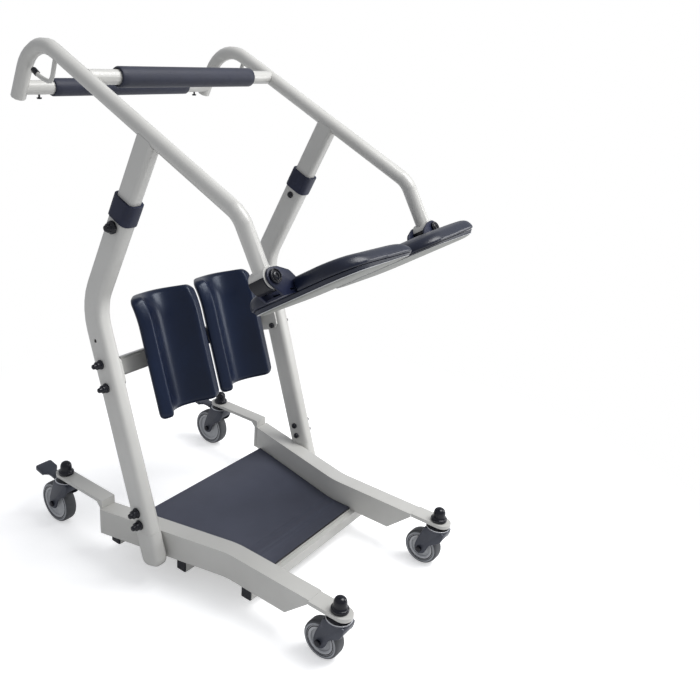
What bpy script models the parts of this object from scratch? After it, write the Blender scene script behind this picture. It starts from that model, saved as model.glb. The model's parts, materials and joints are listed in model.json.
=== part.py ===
"""Stand-up transfer chair: a wheeled frame with a foot tray, knee pads, swing-up seat halves and hand bars.

Metres, +Z up, origin on the floor in the middle of the footprint. The user faces -Y, so "left" is the +X side.
"""
import math

import bmesh
import bpy
from mathutils import Matrix, Vector

# Clearances
GAP = 0.0003            # between pieces that touch
SLIDE_GAP = 0.0005      # round a tube that slides in another
PIN_GAP = 0.0003        # round a pin or bolt in its hole

# Side frames
SIDE_X = 0.271                  # plane of the uprights and side rails

# Casters
REAR_WHEEL_RADIUS = 0.040
FRONT_WHEEL_RADIUS = 0.050
REAR_CASTER_HEIGHT = 0.111      # floor to the face that the caster bolts to
FRONT_CASTER_HEIGHT = 0.130
REAR_STEM_OUTSET = 0.003        # stem outside the leg's centre line
REAR_STEM_Y = 0.405
FRONT_STEM_INSET = 0.003        # stem inside the leg's centre line
FRONT_STEM_Y = -0.329
REAR_TRAIL = 0.030
FRONT_TRAIL = 0.034
WHEEL_WIDTH = 0.028
TREAD = 0.009
FORK_CHEEK = 0.003
FORK_GAP = 0.003
CROWN_THICKNESS = 0.005
AXLE_RADIUS = 0.005
AXLE_END = 0.003                # past the fork's cheek
STEM_RADIUS = 0.006
RACE_RADIUS = 0.021
RACE_HEIGHT = 0.008
KING_RIVET_RADIUS = 0.009
KING_RIVET_HEIGHT = 0.003
CAP_RADIUS = 0.0175
CAP_HEIGHT = 0.031
PEDAL_WIDTH = 0.030
PEDAL_LENGTH = 0.062
PEDAL_THICKNESS = 0.006
PEDAL_PIN_RADIUS = 0.002

# Base legs
LEG_WIDTH = 0.040
LEG_HEIGHT = 0.060
LEG_WALL = 0.0025
LEG_FRONT_INSET = 0.003         # leg's front end inside the side frame
LEG_SPLAY = 0.076               # front end further out than the rear end
LEG_FRONT_Y = -0.176
LEG_KINK_Y = 0.133
LEG_END_Y = 0.346
LEG_TAPER = 0.056
LEG_BEND_RADIUS = 0.160
PLATE_THICKNESS = 0.008
REAR_PLATE_WIDTH = 0.040
PLATE_NOSE = 0.028              # stem axis to the rounded end
ARM_WIDTH = 0.036

# Foot tray
CROSS_TUBE = 0.025
FRONT_CROSS_HEIGHT = 0.014
CROSS_WALL = 0.002
CROSS_SETBACK = 0.006           # ends inside the legs' outer faces
CROSS_FRONT_Y = -0.140
CROSS_MIDDLE_Y = 0.026
CROSS_REAR_Y = 0.188
TRAY_FRONT_Y = -0.158
TRAY_REAR_Y = 0.190
TRAY_THICKNESS = 0.003
MAT_THICKNESS = 0.005
MAT_MARGIN = 0.003
TRAY_CLEARANCE = 0.0005

# Uprights
UPRIGHT_DEPTH = 0.052
UPRIGHT_WIDTH = 0.035
UPRIGHT_WALL = 0.0025
UPRIGHT_CORNER = 0.011
UPRIGHT_LEAN = math.radians(18.5)       # lower part, forward going up
UPRIGHT_BEND_Y = -0.194
UPRIGHT_BEND_Z = 0.590
UPRIGHT_BEND_RADIUS = 0.120
FOOT_JOINT_Z = 0.120
STUB_BOTTOM_Z = 0.050
STUB_ROUNDING = ((0.000, 0.62), (0.003, 0.80), (0.008, 0.93), (0.016, 1.0))     # height and share of the section
SPIGOT_LENGTH = 0.075
BOLT_HOLE_RADIUS = 0.0043
FOOT_BOLT_LOW = 0.023           # along the upright, from its foot
FOOT_BOLT_PITCH = 0.027
KNEE_HOLE_LOW = 0.324           # along the upright, from its foot
KNEE_HOLE_PITCH = 0.050

# Telescopic upper tubes
RAIL_SLOPE = math.radians(26.3)         # the rails fall rearwards, the upper tubes stand square to them
COLLAR_CENTRE = 0.2410          # along the upper part, from the bend's corner
COLLAR_HEIGHT = 0.046
COLLAR_WALL = 0.0025
COLLAR_LIP = 0.008
TUBE_WALL = 0.002
TUBE_CORNER = 0.0080
TUBE_INSERTION = 0.139          # below the collar's centre
HEIGHT_UP = 0.060
HEIGHT_DOWN = 0.040
CLAMP_DROP = 0.039              # clamp screw below the collar's centre
CLAMP_SCREW_RADIUS = 0.004
KNOB_RADIUS = 0.0125
KNOB_FLANGE = 0.008
KNOB_TIP_RADIUS = 0.0075
KNOB_LENGTH = 0.019
CLAMP_NUT_RADIUS = 0.008
CLAMP_NUT_HEIGHT = 0.007

# Side rails
RAIL_RADIUS = 0.0155
RAIL_WALL = 0.002
RAIL_RISE = 0.1586              # rail's axis above the collar's centre, along the upper tube
RAIL_BACK = 0.2398              # rear bend's corner behind the upper tube's axis
RAIL_BEND_RADIUS = 0.060
RAIL_END_DROP = math.radians(60.0)
RAIL_END_LENGTH = 0.1155
HOOK_TOP_Y = -0.319
HOOK_RADIUS = 0.077
HOOK_DROP = math.radians(64.0)
HOOK_TAIL = 0.066

# Hand bars
BAR_RADIUS = 0.015
BAR_WALL = 0.002
FRONT_BAR_TAIL = 0.0445          # along the hook's tail
REAR_BAR_Y = -0.197
FRONT_GRIP_RADIUS = 0.0188
REAR_GRIP_RADIUS = 0.0205
FRONT_GRIP_ROOM = 0.075          # from the grip's end to the rail's axis
REAR_GRIP_ROOM = 0.077

# Bag hooks
BAG_ROD_RADIUS = 0.0032
BAG_TIP_RADIUS = 0.0055
BAG_HOOK_Y = -0.280
BAG_HOOK_FALL = 0.046
BAG_HOOK_BEND = 0.018
BAG_HOOK_RISE = 0.020

# Knee support
KNEE_BAR_HEIGHT = 0.040
KNEE_BAR_DEPTH = 0.026
KNEE_BAR_FORWARD = 0.047        # bar's centre in front of the upright's axis
KNEE_BAR_CORNER = 0.004
GUSSET_THICKNESS = 0.005
GUSSET_HEIGHT = 0.070
GUSSET_REAR = 0.016             # behind the upright's axis
PAD_CENTRE_X = 0.0955
PAD_WIDTH = 0.182
PAD_HEIGHT = 0.268
PAD_THICKNESS = 0.022           # in the middle
PAD_HOLLOW = 0.048              # middle to crest
PAD_CREST = 0.70                # share of the half width
PAD_FLANK = 0.009               # fall from crest to side
PAD_BACK_FLAT = 0.42            # share of the half width that lies on the bar
PAD_BACK_EDGE = 0.050           # the back's depth at the side
PAD_LIP = 0.018                 # how far the top rolls over the bar, in the middle
PAD_LIP_SIDE = 0.012            # and at the sides
PAD_ARCH = 0.006
PAD_CORNER = 0.014
PAD_EDGE = 0.005
PAD_RISE = 0.002                # pad's centre above the bar's
PAD_NUT_RADIUS = 0.010
PAD_NUT_HEIGHT = 0.010
PAD_STUD_RADIUS = 0.004
PAD_STUD_REACH = 0.006

# Seat halves
SEAT_TILT = math.radians(32.0)
SEAT_AXIS_RISE = 0.0470         # hinge axis above the seat plate's underside
SEAT_AXIS_BACK = 0.0115         # seat's middle behind the hinge
SEAT_SAG = math.radians(2.0)    # how far each half's inner edge hangs down about its hinge
SEAT_INNER_X = 0.006
SEAT_EDGE_ROOM = 0.033          # from the seat's outer edge to the side frame's plane
SEAT_LENGTH = 0.268
SEAT_CORNER = 0.062
SEAT_PLATE_THICKNESS = 0.012
SEAT_PLATE_INSET = 0.004        # at the top, inside the cushion's outline
SEAT_PLATE_DRAW = 0.013         # further in at the bottom
SEAT_PLATE_WEDGE = 0.009        # how much its underside rises to the inner edge
CUSHION_HEIGHT = 0.0245
CUSHION_CROWN = 0.004
CUSHION_RINGS = (               # share of the height, then inset at the outer side, the inner side and the ends
    (0.00, 0.003, 0.003, 0.003),
    (0.14, 0.000, 0.000, 0.000),
    (0.45, 0.000, 0.003, 0.003),
    (0.78, 0.0015, 0.013, 0.010),
    (1.00, 0.006, 0.034, 0.028),
)
EAR_THICKNESS = 0.005
EAR_RADIUS = 0.0165
EAR_REACH = 0.064               # ear's foot inwards from the hinge
EAR_OUTER_FOOT = 0.006          # ear's foot inwards from the hinge, outer end
BRACKET_FLOOR = 0.004
NOTCH_MARGIN = 0.0035           # cushion's notch round the bracket
BARREL_RADIUS = 0.0205
BARREL_LENGTH = 0.036
HINGE_PIN_RADIUS = 0.005
HINGE_HEAD_RADIUS = 0.0125
HINGE_HEAD_HEIGHT = 0.005

SMALL_STEPS = 16
ROUND_STEPS = 24
CAP_STEPS = 18
WHEEL_STEPS = 28

# Places that follow from the sizes
LEG_FRONT_X = SIDE_X - LEG_FRONT_INSET
LEG_REAR_X = LEG_FRONT_X - LEG_SPLAY
FRONT_STEM_X = LEG_FRONT_X - FRONT_STEM_INSET
REAR_STEM_X = LEG_REAR_X + REAR_STEM_OUTSET
FRONT_GRIP_HALF = SIDE_X - FRONT_GRIP_ROOM
REAR_GRIP_HALF = SIDE_X - REAR_GRIP_ROOM
SEAT_OUTER_X = SIDE_X - SEAT_EDGE_ROOM
LEG_TOP = REAR_CASTER_HEIGHT + PLATE_THICKNESS
LEG_BOTTOM = LEG_TOP - LEG_HEIGHT
LOWER_UP = Vector((0, -math.sin(UPRIGHT_LEAN), math.cos(UPRIGHT_LEAN)))
LOWER_FRONT = Vector((0, -math.cos(UPRIGHT_LEAN), -math.sin(UPRIGHT_LEAN)))
UPPER_UP = Vector((0, math.sin(RAIL_SLOPE), math.cos(RAIL_SLOPE)))
UPPER_FRONT = Vector((0, -math.cos(RAIL_SLOPE), math.sin(RAIL_SLOPE)))
SEAT_BACK = Vector((0, math.cos(SEAT_TILT), math.sin(SEAT_TILT)))
SEAT_NORMAL = Vector((0, -math.sin(SEAT_TILT), math.cos(SEAT_TILT)))
BEND = Vector((0, UPRIGHT_BEND_Y, UPRIGHT_BEND_Z))
FOOT = BEND - LOWER_UP * ((UPRIGHT_BEND_Z - FOOT_JOINT_Z) / LOWER_UP.z)
COLLAR = BEND + UPPER_UP * COLLAR_CENTRE
RAIL_FORWARD = UPPER_FRONT
RAIL_BEND = COLLAR + UPPER_UP * RAIL_RISE - RAIL_FORWARD * RAIL_BACK
RAIL_END = Vector((0, math.cos(RAIL_END_DROP), -math.sin(RAIL_END_DROP)))
SEAT_HINGE = RAIL_BEND + RAIL_END * RAIL_END_LENGTH
LEG_SLOPE = (LEG_REAR_X - LEG_FRONT_X) / (LEG_KINK_Y - LEG_FRONT_Y)
SIDES = (("left", 1), ("right", -1))


def rail_point(y):
    """The point of the straight part of the rail's axis at this y."""
    return RAIL_BEND + RAIL_FORWARD * ((y - RAIL_BEND.y) / RAIL_FORWARD.y)


def leg_centre_x(y):
    """The leg's centre line in plan."""
    return LEG_FRONT_X + LEG_SLOPE * (min(y, LEG_KINK_Y) - LEG_FRONT_Y)


def hook_points():
    """The hook's centre line, from the straight rail over the top to the open end."""
    rise = HOOK_RADIUS * math.sin(RAIL_SLOPE)
    start = rail_point(HOOK_TOP_Y + rise)
    centre = start + Vector((0, -math.sin(RAIL_SLOPE), -math.cos(RAIL_SLOPE))) * HOOK_RADIUS
    steps = 9
    points = []
    for step in range(steps + 1):
        turn = RAIL_SLOPE - (RAIL_SLOPE + HOOK_DROP) * step / steps
        points.append(centre + Vector((0, math.sin(turn), math.cos(turn))) * HOOK_RADIUS)
    tail = Vector((0, -math.cos(HOOK_DROP), -math.sin(HOOK_DROP)))
    points.append(points[-1] + tail * HOOK_TAIL)
    return points


HOOK = hook_points()
FRONT_BAR = HOOK[-2] + (HOOK[-1] - HOOK[-2]).normalized() * FRONT_BAR_TAIL
REAR_BAR = rail_point(REAR_BAR_Y)

for old in list(bpy.data.objects):
    bpy.data.objects.remove(old, do_unlink=True)

CHAIR = bpy.data.collections.new("transfer_chair")
CUTTERS = bpy.data.collections.new("cutters")
bpy.context.scene.collection.children.link(CHAIR)
bpy.context.scene.collection.children.link(CUTTERS)


def material(name, colour, roughness, metallic=0.0):
    made = bpy.data.materials.new(name)
    made.use_nodes = True
    shader = made.node_tree.nodes["Principled BSDF"]
    shader.inputs["Base Color"].default_value = (*colour, 1)
    shader.inputs["Roughness"].default_value = roughness
    shader.inputs["Metallic"].default_value = metallic
    made.diffuse_color = (*colour, 1)
    return made


PAINT = material("frame_paint", (0.62, 0.62, 0.58), 0.40)
COLLAR_PLASTIC = material("collar_plastic", (0.015, 0.018, 0.045), 0.45)
BLACK_PLASTIC = material("black_plastic", (0.012, 0.013, 0.018), 0.40)
PAD_SKIN = material("pad_skin", (0.022, 0.028, 0.070), 0.50)
FOAM = material("grip_foam", (0.020, 0.024, 0.055), 0.75)
SEAT_SKIN = material("seat_skin", (0.030, 0.036, 0.075), 0.45)
SEAT_BASE = material("seat_base", (0.20, 0.21, 0.19), 0.55)
MAT_RUBBER = material("mat_rubber", (0.055, 0.062, 0.090), 0.80)
CASTER_METAL = material("caster_housing", (0.045, 0.050, 0.075), 0.40)
HUB = material("wheel_hub", (0.45, 0.46, 0.47), 0.45)
TYRE = material("tyre_rubber", (0.060, 0.062, 0.068), 0.70)


def collect(thing, collection):
    for owner in list(thing.users_collection):
        owner.objects.unlink(thing)
    collection.objects.link(thing)
    return thing


def piece(thing, name, finish):
    """Give an object its name and finish as one of the chair's pieces."""
    thing.name = name
    thing.data.materials.clear()
    thing.data.materials.append(finish)
    return collect(thing, CHAIR)


def cutter(thing, name):
    thing.name = name
    thing.hide_render = True
    thing.display_type = "WIRE"
    return collect(thing, CUTTERS)


def boolean(thing, other, operation="DIFFERENCE"):
    change = thing.modifiers.new(operation.lower(), "BOOLEAN")
    change.operation = operation
    change.object = other


def smooth(thing, degrees=35):
    thing.data.shade_smooth()
    thing.data.set_sharp_from_angle(angle=math.radians(degrees))


def mesh_object(name, shape):
    data = bpy.data.meshes.new(name)
    shape.to_mesh(data)
    shape.free()
    made = bpy.data.objects.new(name, data)
    bpy.context.scene.collection.objects.link(made)
    return made


def box(name, size, centre, turn=None, bevel=0.0, segments=2):
    """A box whose axes turn by a rotation matrix about its centre."""
    shape = bmesh.new()
    bmesh.ops.create_cube(shape, size=1.0)
    bmesh.ops.scale(shape, vec=size, verts=shape.verts)
    if bevel:
        bmesh.ops.bevel(shape, geom=shape.edges[:], offset=bevel, segments=segments, affect="EDGES")
    if turn:
        bmesh.ops.transform(shape, matrix=turn.to_4x4(), verts=shape.verts)
    bmesh.ops.translate(shape, vec=centre, verts=shape.verts)
    return mesh_object(name, shape)


def frame_of(across, along):
    """Rotation that takes X to across, Z to along, and Y to their normal."""
    return Matrix((across, along.cross(across), along)).transposed()


def rod(name, start, end, radius, steps=SMALL_STEPS, turn=0.0):
    """A closed cylinder between two points."""
    start = Vector(start)
    end = Vector(end)
    shape = bmesh.new()
    bmesh.ops.create_cone(shape, cap_ends=True, segments=steps, radius1=radius, radius2=radius,
                          depth=(end - start).length)
    bmesh.ops.rotate(shape, matrix=Matrix.Rotation(turn, 3, "Z"), verts=shape.verts)
    aim = (end - start).to_track_quat("Z", "Y").to_matrix().to_4x4()
    bmesh.ops.transform(shape, matrix=Matrix.Translation((start + end) / 2) @ aim, verts=shape.verts)
    return mesh_object(name, shape)


def turned(name, profile, steps, base, axis):
    """A closed turned shape: profile is (radius, height) from top to bottom on its outer side."""
    shape = bmesh.new()
    points = [shape.verts.new((radius, 0, height)) for radius, height in profile]
    for first, second in zip(points, points[1:]):
        shape.edges.new((first, second))
    if profile[0][0] > 0:
        shape.edges.new((points[-1], points[0]))
    made = mesh_object(name, shape)
    screw = made.modifiers.new("turn", "SCREW")
    screw.steps = steps
    screw.render_steps = steps
    screw.use_merge_vertices = True
    screw.merge_threshold = 0.00001
    screw.use_smooth_shade = True
    aim = Vector(axis).to_track_quat("Z", "Y").to_matrix().to_4x4()
    made.matrix_world = Matrix.Translation(base) @ aim
    return made


def rounded_rectangle(depth, width, corner, steps=3):
    """Points of a rounded rectangle about the origin, anticlockwise."""
    points = []
    middles = ((depth / 2 - corner, width / 2 - corner), (corner - depth / 2, width / 2 - corner),
               (corner - depth / 2, corner - width / 2), (depth / 2 - corner, corner - width / 2))
    for quarter, (mid_x, mid_y) in enumerate(middles):
        for step in range(steps + 1):
            turn = math.pi / 2 * (quarter + step / steps)
            points.append((mid_x + corner * math.cos(turn), mid_y + corner * math.sin(turn)))
    return points


def flat_shape(name, outline, thickness, placing):
    """A plate: a closed outline, filled, with its thickness centred on the outline's plane."""
    curve = bpy.data.curves.new(name, "CURVE")
    curve.dimensions = "2D"
    curve.fill_mode = "BOTH"
    curve.extrude = thickness / 2
    line = curve.splines.new("POLY")
    line.points.add(len(outline) - 1)
    for point, (across, up) in zip(line.points, outline):
        point.co = (across, up, 0, 1)
    line.use_cyclic_u = True
    drawn = bpy.data.objects.new(name, curve)
    bpy.context.scene.collection.objects.link(drawn)
    drawn.matrix_world = placing
    return to_mesh(drawn)


def to_mesh(drawn):
    """Turn a curve object into a welded mesh object in the same place."""
    bpy.context.view_layer.update()
    seen = drawn.evaluated_get(bpy.context.evaluated_depsgraph_get())
    data = bpy.data.meshes.new_from_object(seen)
    shape = bmesh.new()
    shape.from_mesh(data)
    bmesh.ops.remove_doubles(shape, verts=shape.verts, dist=0.00001)
    bmesh.ops.transform(shape, matrix=drawn.matrix_world, verts=shape.verts)
    bmesh.ops.recalc_face_normals(shape, faces=shape.faces)
    shape.to_mesh(data)
    shape.free()
    made = bpy.data.objects.new(drawn.name, data)
    bpy.context.scene.collection.objects.link(made)
    bpy.data.objects.remove(drawn)
    return made


def round_path(points, radius_at, steps=5):
    """The path with each inner corner replaced by an arc of the radius given for it."""
    path = [points[0]]
    for index in range(1, len(points) - 1):
        before = (points[index - 1] - points[index]).normalized()
        after = (points[index + 1] - points[index]).normalized()
        half = before.angle(after) / 2
        radius = radius_at[index - 1]
        inwards = (before + after).normalized()
        centre = points[index] + inwards * (radius / math.sin(half))
        start = points[index] + before * (radius / math.tan(half)) - centre
        end = points[index] + after * (radius / math.tan(half)) - centre
        for step in range(steps + 1):
            path.append(centre + start.slerp(end, step / steps).normalized() * radius)
    path.append(points[-1])
    return path


def pipe(name, path, radius, wall=0.0, resolution=3):
    """A round tube along a path: hollow and open at both ends where it has a wall."""
    curve = bpy.data.curves.new(name, "CURVE")
    curve.dimensions = "3D"
    curve.bevel_depth = radius
    curve.bevel_resolution = resolution
    curve.use_fill_caps = not wall
    line = curve.splines.new("POLY")
    line.points.add(len(path) - 1)
    for point, place in zip(line.points, path):
        point.co = (*place, 1)
    drawn = bpy.data.objects.new(name, curve)
    bpy.context.scene.collection.objects.link(drawn)
    made = to_mesh(drawn)
    if wall:
        thicken(made, wall)
    return made


def thicken(thing, wall):
    shell = thing.modifiers.new("wall", "SOLIDIFY")
    shell.thickness = wall
    shell.offset = -1
    shell.use_even_offset = True


def side_plane(x):
    """Places what is drawn in plan so that its x runs along Y and its y along Z, at this x."""
    turn = Matrix.Rotation(math.pi / 2, 4, "Z") @ Matrix.Rotation(math.pi / 2, 4, "X")
    return Matrix.Translation((x, 0, 0)) @ turn


def section_tube(name, path, depth, width, corner, wall=0.0, scales=()):
    """A rounded-rectangle tube along a path in the YZ plane: depth lies in that plane, width along X."""
    profile = bpy.data.curves.new(name + "_section", "CURVE")
    profile.dimensions = "2D"
    ring = profile.splines.new("POLY")
    outline = rounded_rectangle(depth, width, corner)
    ring.points.add(len(outline) - 1)
    for point, (across, up) in zip(ring.points, outline):
        point.co = (across, up, 0, 1)
    ring.use_cyclic_u = True
    section = bpy.data.objects.new(name + "_section", profile)
    bpy.context.scene.collection.objects.link(section)
    curve = bpy.data.curves.new(name, "CURVE")
    curve.dimensions = "3D"
    curve.twist_mode = "Z_UP"
    curve.bevel_mode = "OBJECT"
    curve.bevel_object = section
    curve.use_fill_caps = not wall
    line = curve.splines.new("POLY")
    line.points.add(len(path) - 1)
    for point, place in zip(line.points, path):
        point.co = (place.y, place.z, 0, 1)
    for point, scale in zip(line.points, scales):
        point.radius = scale
    drawn = bpy.data.objects.new(name, curve)
    bpy.context.scene.collection.objects.link(drawn)
    drawn.matrix_world = side_plane(path[0].x)
    made = to_mesh(drawn)
    bpy.data.objects.remove(section)
    if wall:
        thicken(made, wall)
    return made


def mirrored(thing, name):
    """A copy of a finished mesh on the other side of the middle plane."""
    bpy.context.view_layer.update()
    seen = thing.evaluated_get(bpy.context.evaluated_depsgraph_get())
    shape = bmesh.new()
    shape.from_mesh(bpy.data.meshes.new_from_object(seen))
    flip = Matrix.Scale(-1, 4, (1, 0, 0))
    bmesh.ops.transform(shape, matrix=flip @ thing.matrix_world, verts=shape.verts)
    bmesh.ops.reverse_faces(shape, faces=shape.faces)
    made = mesh_object(name, shape)
    made.data.materials.append(thing.data.materials[0])
    return collect(made, CHAIR)


def pair(made, name):
    """The left piece as made and its right twin."""
    return made, mirrored(made, "right_" + name)


def pivot(name, place):
    """An empty on a joint's axis, which carries what moves with the joint."""
    made = bpy.data.objects.new(name, None)
    made.empty_display_size = 0.03
    made.location = place
    bpy.context.scene.collection.objects.link(made)
    return collect(made, CHAIR)


def carry(parent, *things):
    bpy.context.view_layer.update()
    for thing in things:
        thing.parent = parent
        thing.matrix_parent_inverse = parent.matrix_world.inverted()


def on_side(place, x=SIDE_X):
    return Vector((x, place.y, place.z))


def leg_edge(offset, front, back):
    """One long edge of the leg in plan, at this offset from its centre line."""
    angle = -math.atan(LEG_SLOPE)
    tangent = LEG_BEND_RADIUS * math.tan(angle / 2)
    radius = LEG_BEND_RADIUS - offset
    centre_x = LEG_REAR_X + LEG_BEND_RADIUS
    steps = 6
    points = []
    for step in range(steps + 1):
        turn = angle * (1 - step / steps)
        points.append((centre_x - radius * math.cos(turn), LEG_KINK_Y + tangent - radius * math.sin(turn)))
    front_x = points[0][0] + LEG_SLOPE * (front - points[0][1])
    return [(front_x, front)] + points + [(LEG_REAR_X + offset, back)]


def leg_outline(grow, front, back):
    """The leg in plan between two y places, wider by grow on each side."""
    half = LEG_WIDTH / 2 + grow
    return leg_edge(-half, front, back) + leg_edge(half, front, back)[::-1]


def make_legs():
    """Rectangular tubes, splayed in front of the kink, their rear ends cut away underneath."""
    middle = Matrix.Translation((0, 0, LEG_TOP - LEG_HEIGHT / 2))
    leg = flat_shape("left_leg", leg_outline(0, LEG_FRONT_Y, LEG_END_Y), LEG_HEIGHT, middle)
    piece(leg, "left_leg", PAINT)
    hollow = flat_shape("leg_hollow", leg_outline(-LEG_WALL, LEG_FRONT_Y - LEG_WIDTH, LEG_END_Y + LEG_WIDTH),
                        LEG_HEIGHT - 2 * LEG_WALL, middle)
    boolean(leg, cutter(hollow, "leg_hollow"))
    lip_low = LEG_TOP - PLATE_THICKNESS
    past = LEG_END_Y + LEG_WIDTH
    below = LEG_BOTTOM - LEG_WIDTH
    outline = [(LEG_END_Y - LEG_TAPER, LEG_BOTTOM), (LEG_END_Y, lip_low), (past, lip_low), (past, below),
               (LEG_END_Y - LEG_TAPER, below)]
    taper = flat_shape("leg_taper", outline, LEG_WIDTH * 2, side_plane(LEG_REAR_X))
    boolean(leg, cutter(taper, "leg_taper"))
    pair(leg, "leg")


def nose_outline(width, start, stem):
    """A strip in plan that ends in a half round past the stem."""
    half = width / 2
    sign = 1 if stem > start else -1
    reach = stem + sign * (PLATE_NOSE - half)
    steps = 8
    points = [(half, start)]
    for step in range(steps + 1):
        turn = math.pi * step / steps
        points.append((half * math.cos(turn), reach + sign * half * math.sin(turn)))
    points.append((-half, start))
    return points


def make_caster_plates():
    """Flat plates that carry the rear casters, and stepped arms that carry the front ones."""
    plate = flat_shape("left_rear_plate", nose_outline(REAR_PLATE_WIDTH, LEG_END_Y + GAP, REAR_STEM_Y),
                       PLATE_THICKNESS, Matrix.Translation((REAR_STEM_X, 0, LEG_TOP - PLATE_THICKNESS / 2)))
    piece(plate, "left_rear_plate", PAINT)
    hole = rod("rear_stem_hole", (REAR_STEM_X, REAR_STEM_Y, LEG_BOTTOM),
               (REAR_STEM_X, REAR_STEM_Y, LEG_TOP + LEG_HEIGHT), STEM_RADIUS + PIN_GAP)
    boolean(plate, cutter(hole, "rear_stem_hole"))
    pair(plate, "rear_plate")

    level = FRONT_CASTER_HEIGHT + PLATE_THICKNESS / 2
    arm = flat_shape("left_front_arm", nose_outline(ARM_WIDTH, LEG_FRONT_Y - PLATE_THICKNESS, FRONT_STEM_Y),
                     PLATE_THICKNESS, Matrix.Translation((FRONT_STEM_X, 0, level)))
    piece(arm, "left_front_arm", PAINT)
    web_back = LEG_FRONT_Y - GAP
    web_top = FRONT_CASTER_HEIGHT + PLATE_THICKNESS
    web = box("arm_web", (ARM_WIDTH, PLATE_THICKNESS, web_top - LEG_BOTTOM),
              (FRONT_STEM_X, web_back - PLATE_THICKNESS / 2, (web_top + LEG_BOTTOM) / 2))
    boolean(arm, cutter(web, "arm_web"), "UNION")
    brace = PLATE_THICKNESS * 1.5
    inside = web_back - PLATE_THICKNESS
    outline = [(inside + GAP, FRONT_CASTER_HEIGHT + GAP), (inside - brace, FRONT_CASTER_HEIGHT + GAP),
               (inside + GAP, FRONT_CASTER_HEIGHT - brace)]
    corner = flat_shape("arm_corner", outline, ARM_WIDTH - 2 * GAP, side_plane(FRONT_STEM_X))
    boolean(arm, cutter(corner, "arm_corner"), "UNION")
    hole = rod("front_stem_hole", (FRONT_STEM_X, FRONT_STEM_Y, LEG_BOTTOM),
               (FRONT_STEM_X, FRONT_STEM_Y, LEG_TOP + LEG_HEIGHT), STEM_RADIUS + PIN_GAP)
    boolean(arm, cutter(hole, "front_stem_hole"))
    pair(arm, "front_arm")


def make_foot_tray():
    """Three square tubes across under the legs, a tray plate between the legs and a rubber mat on it."""
    tube_top = LEG_BOTTOM - GAP
    tubes = (("front_cross_tube", CROSS_FRONT_Y, FRONT_CROSS_HEIGHT),
             ("middle_cross_tube", CROSS_MIDDLE_Y, CROSS_TUBE),
             ("rear_cross_tube", CROSS_REAR_Y, CROSS_TUBE))
    for name, y, height in tubes:
        half = leg_centre_x(y) + LEG_WIDTH / 2 - CROSS_SETBACK
        middle = (0, y, tube_top - height / 2)
        tube = piece(box(name, (2 * half, CROSS_TUBE, height), middle), name, PAINT)
        bore_size = (2 * half + CROSS_TUBE, CROSS_TUBE - 2 * CROSS_WALL, height - 2 * CROSS_WALL)
        bore = box(name + "_bore", bore_size, middle)
        boolean(tube, cutter(bore, name + "_bore"))
    slabs = (("foot_tray", TRAY_THICKNESS, TRAY_CLEARANCE, LEG_BOTTOM, TRAY_FRONT_Y, TRAY_REAR_Y, PAINT),
             ("foot_mat", MAT_THICKNESS, MAT_MARGIN, LEG_BOTTOM + TRAY_THICKNESS + GAP,
              TRAY_FRONT_Y + MAT_MARGIN, TRAY_REAR_Y - MAT_MARGIN, MAT_RUBBER))
    for name, thickness, margin, floor, front, back, finish in slabs:
        edge = leg_edge(-LEG_WIDTH / 2 - margin, front, back)
        outline = edge + [(-x, y) for x, y in edge[::-1]]
        slab = flat_shape(name, outline, thickness, Matrix.Translation((0, 0, floor + thickness / 2)))
        piece(slab, name, finish)


def cross_hole(name, place, radius=BOLT_HOLE_RADIUS, reach=UPRIGHT_WIDTH):
    """A cutter along X through the side frame."""
    span = Vector((reach, 0, 0))
    return cutter(rod(name, place - span, place + span, radius, steps=12), name)


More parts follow.
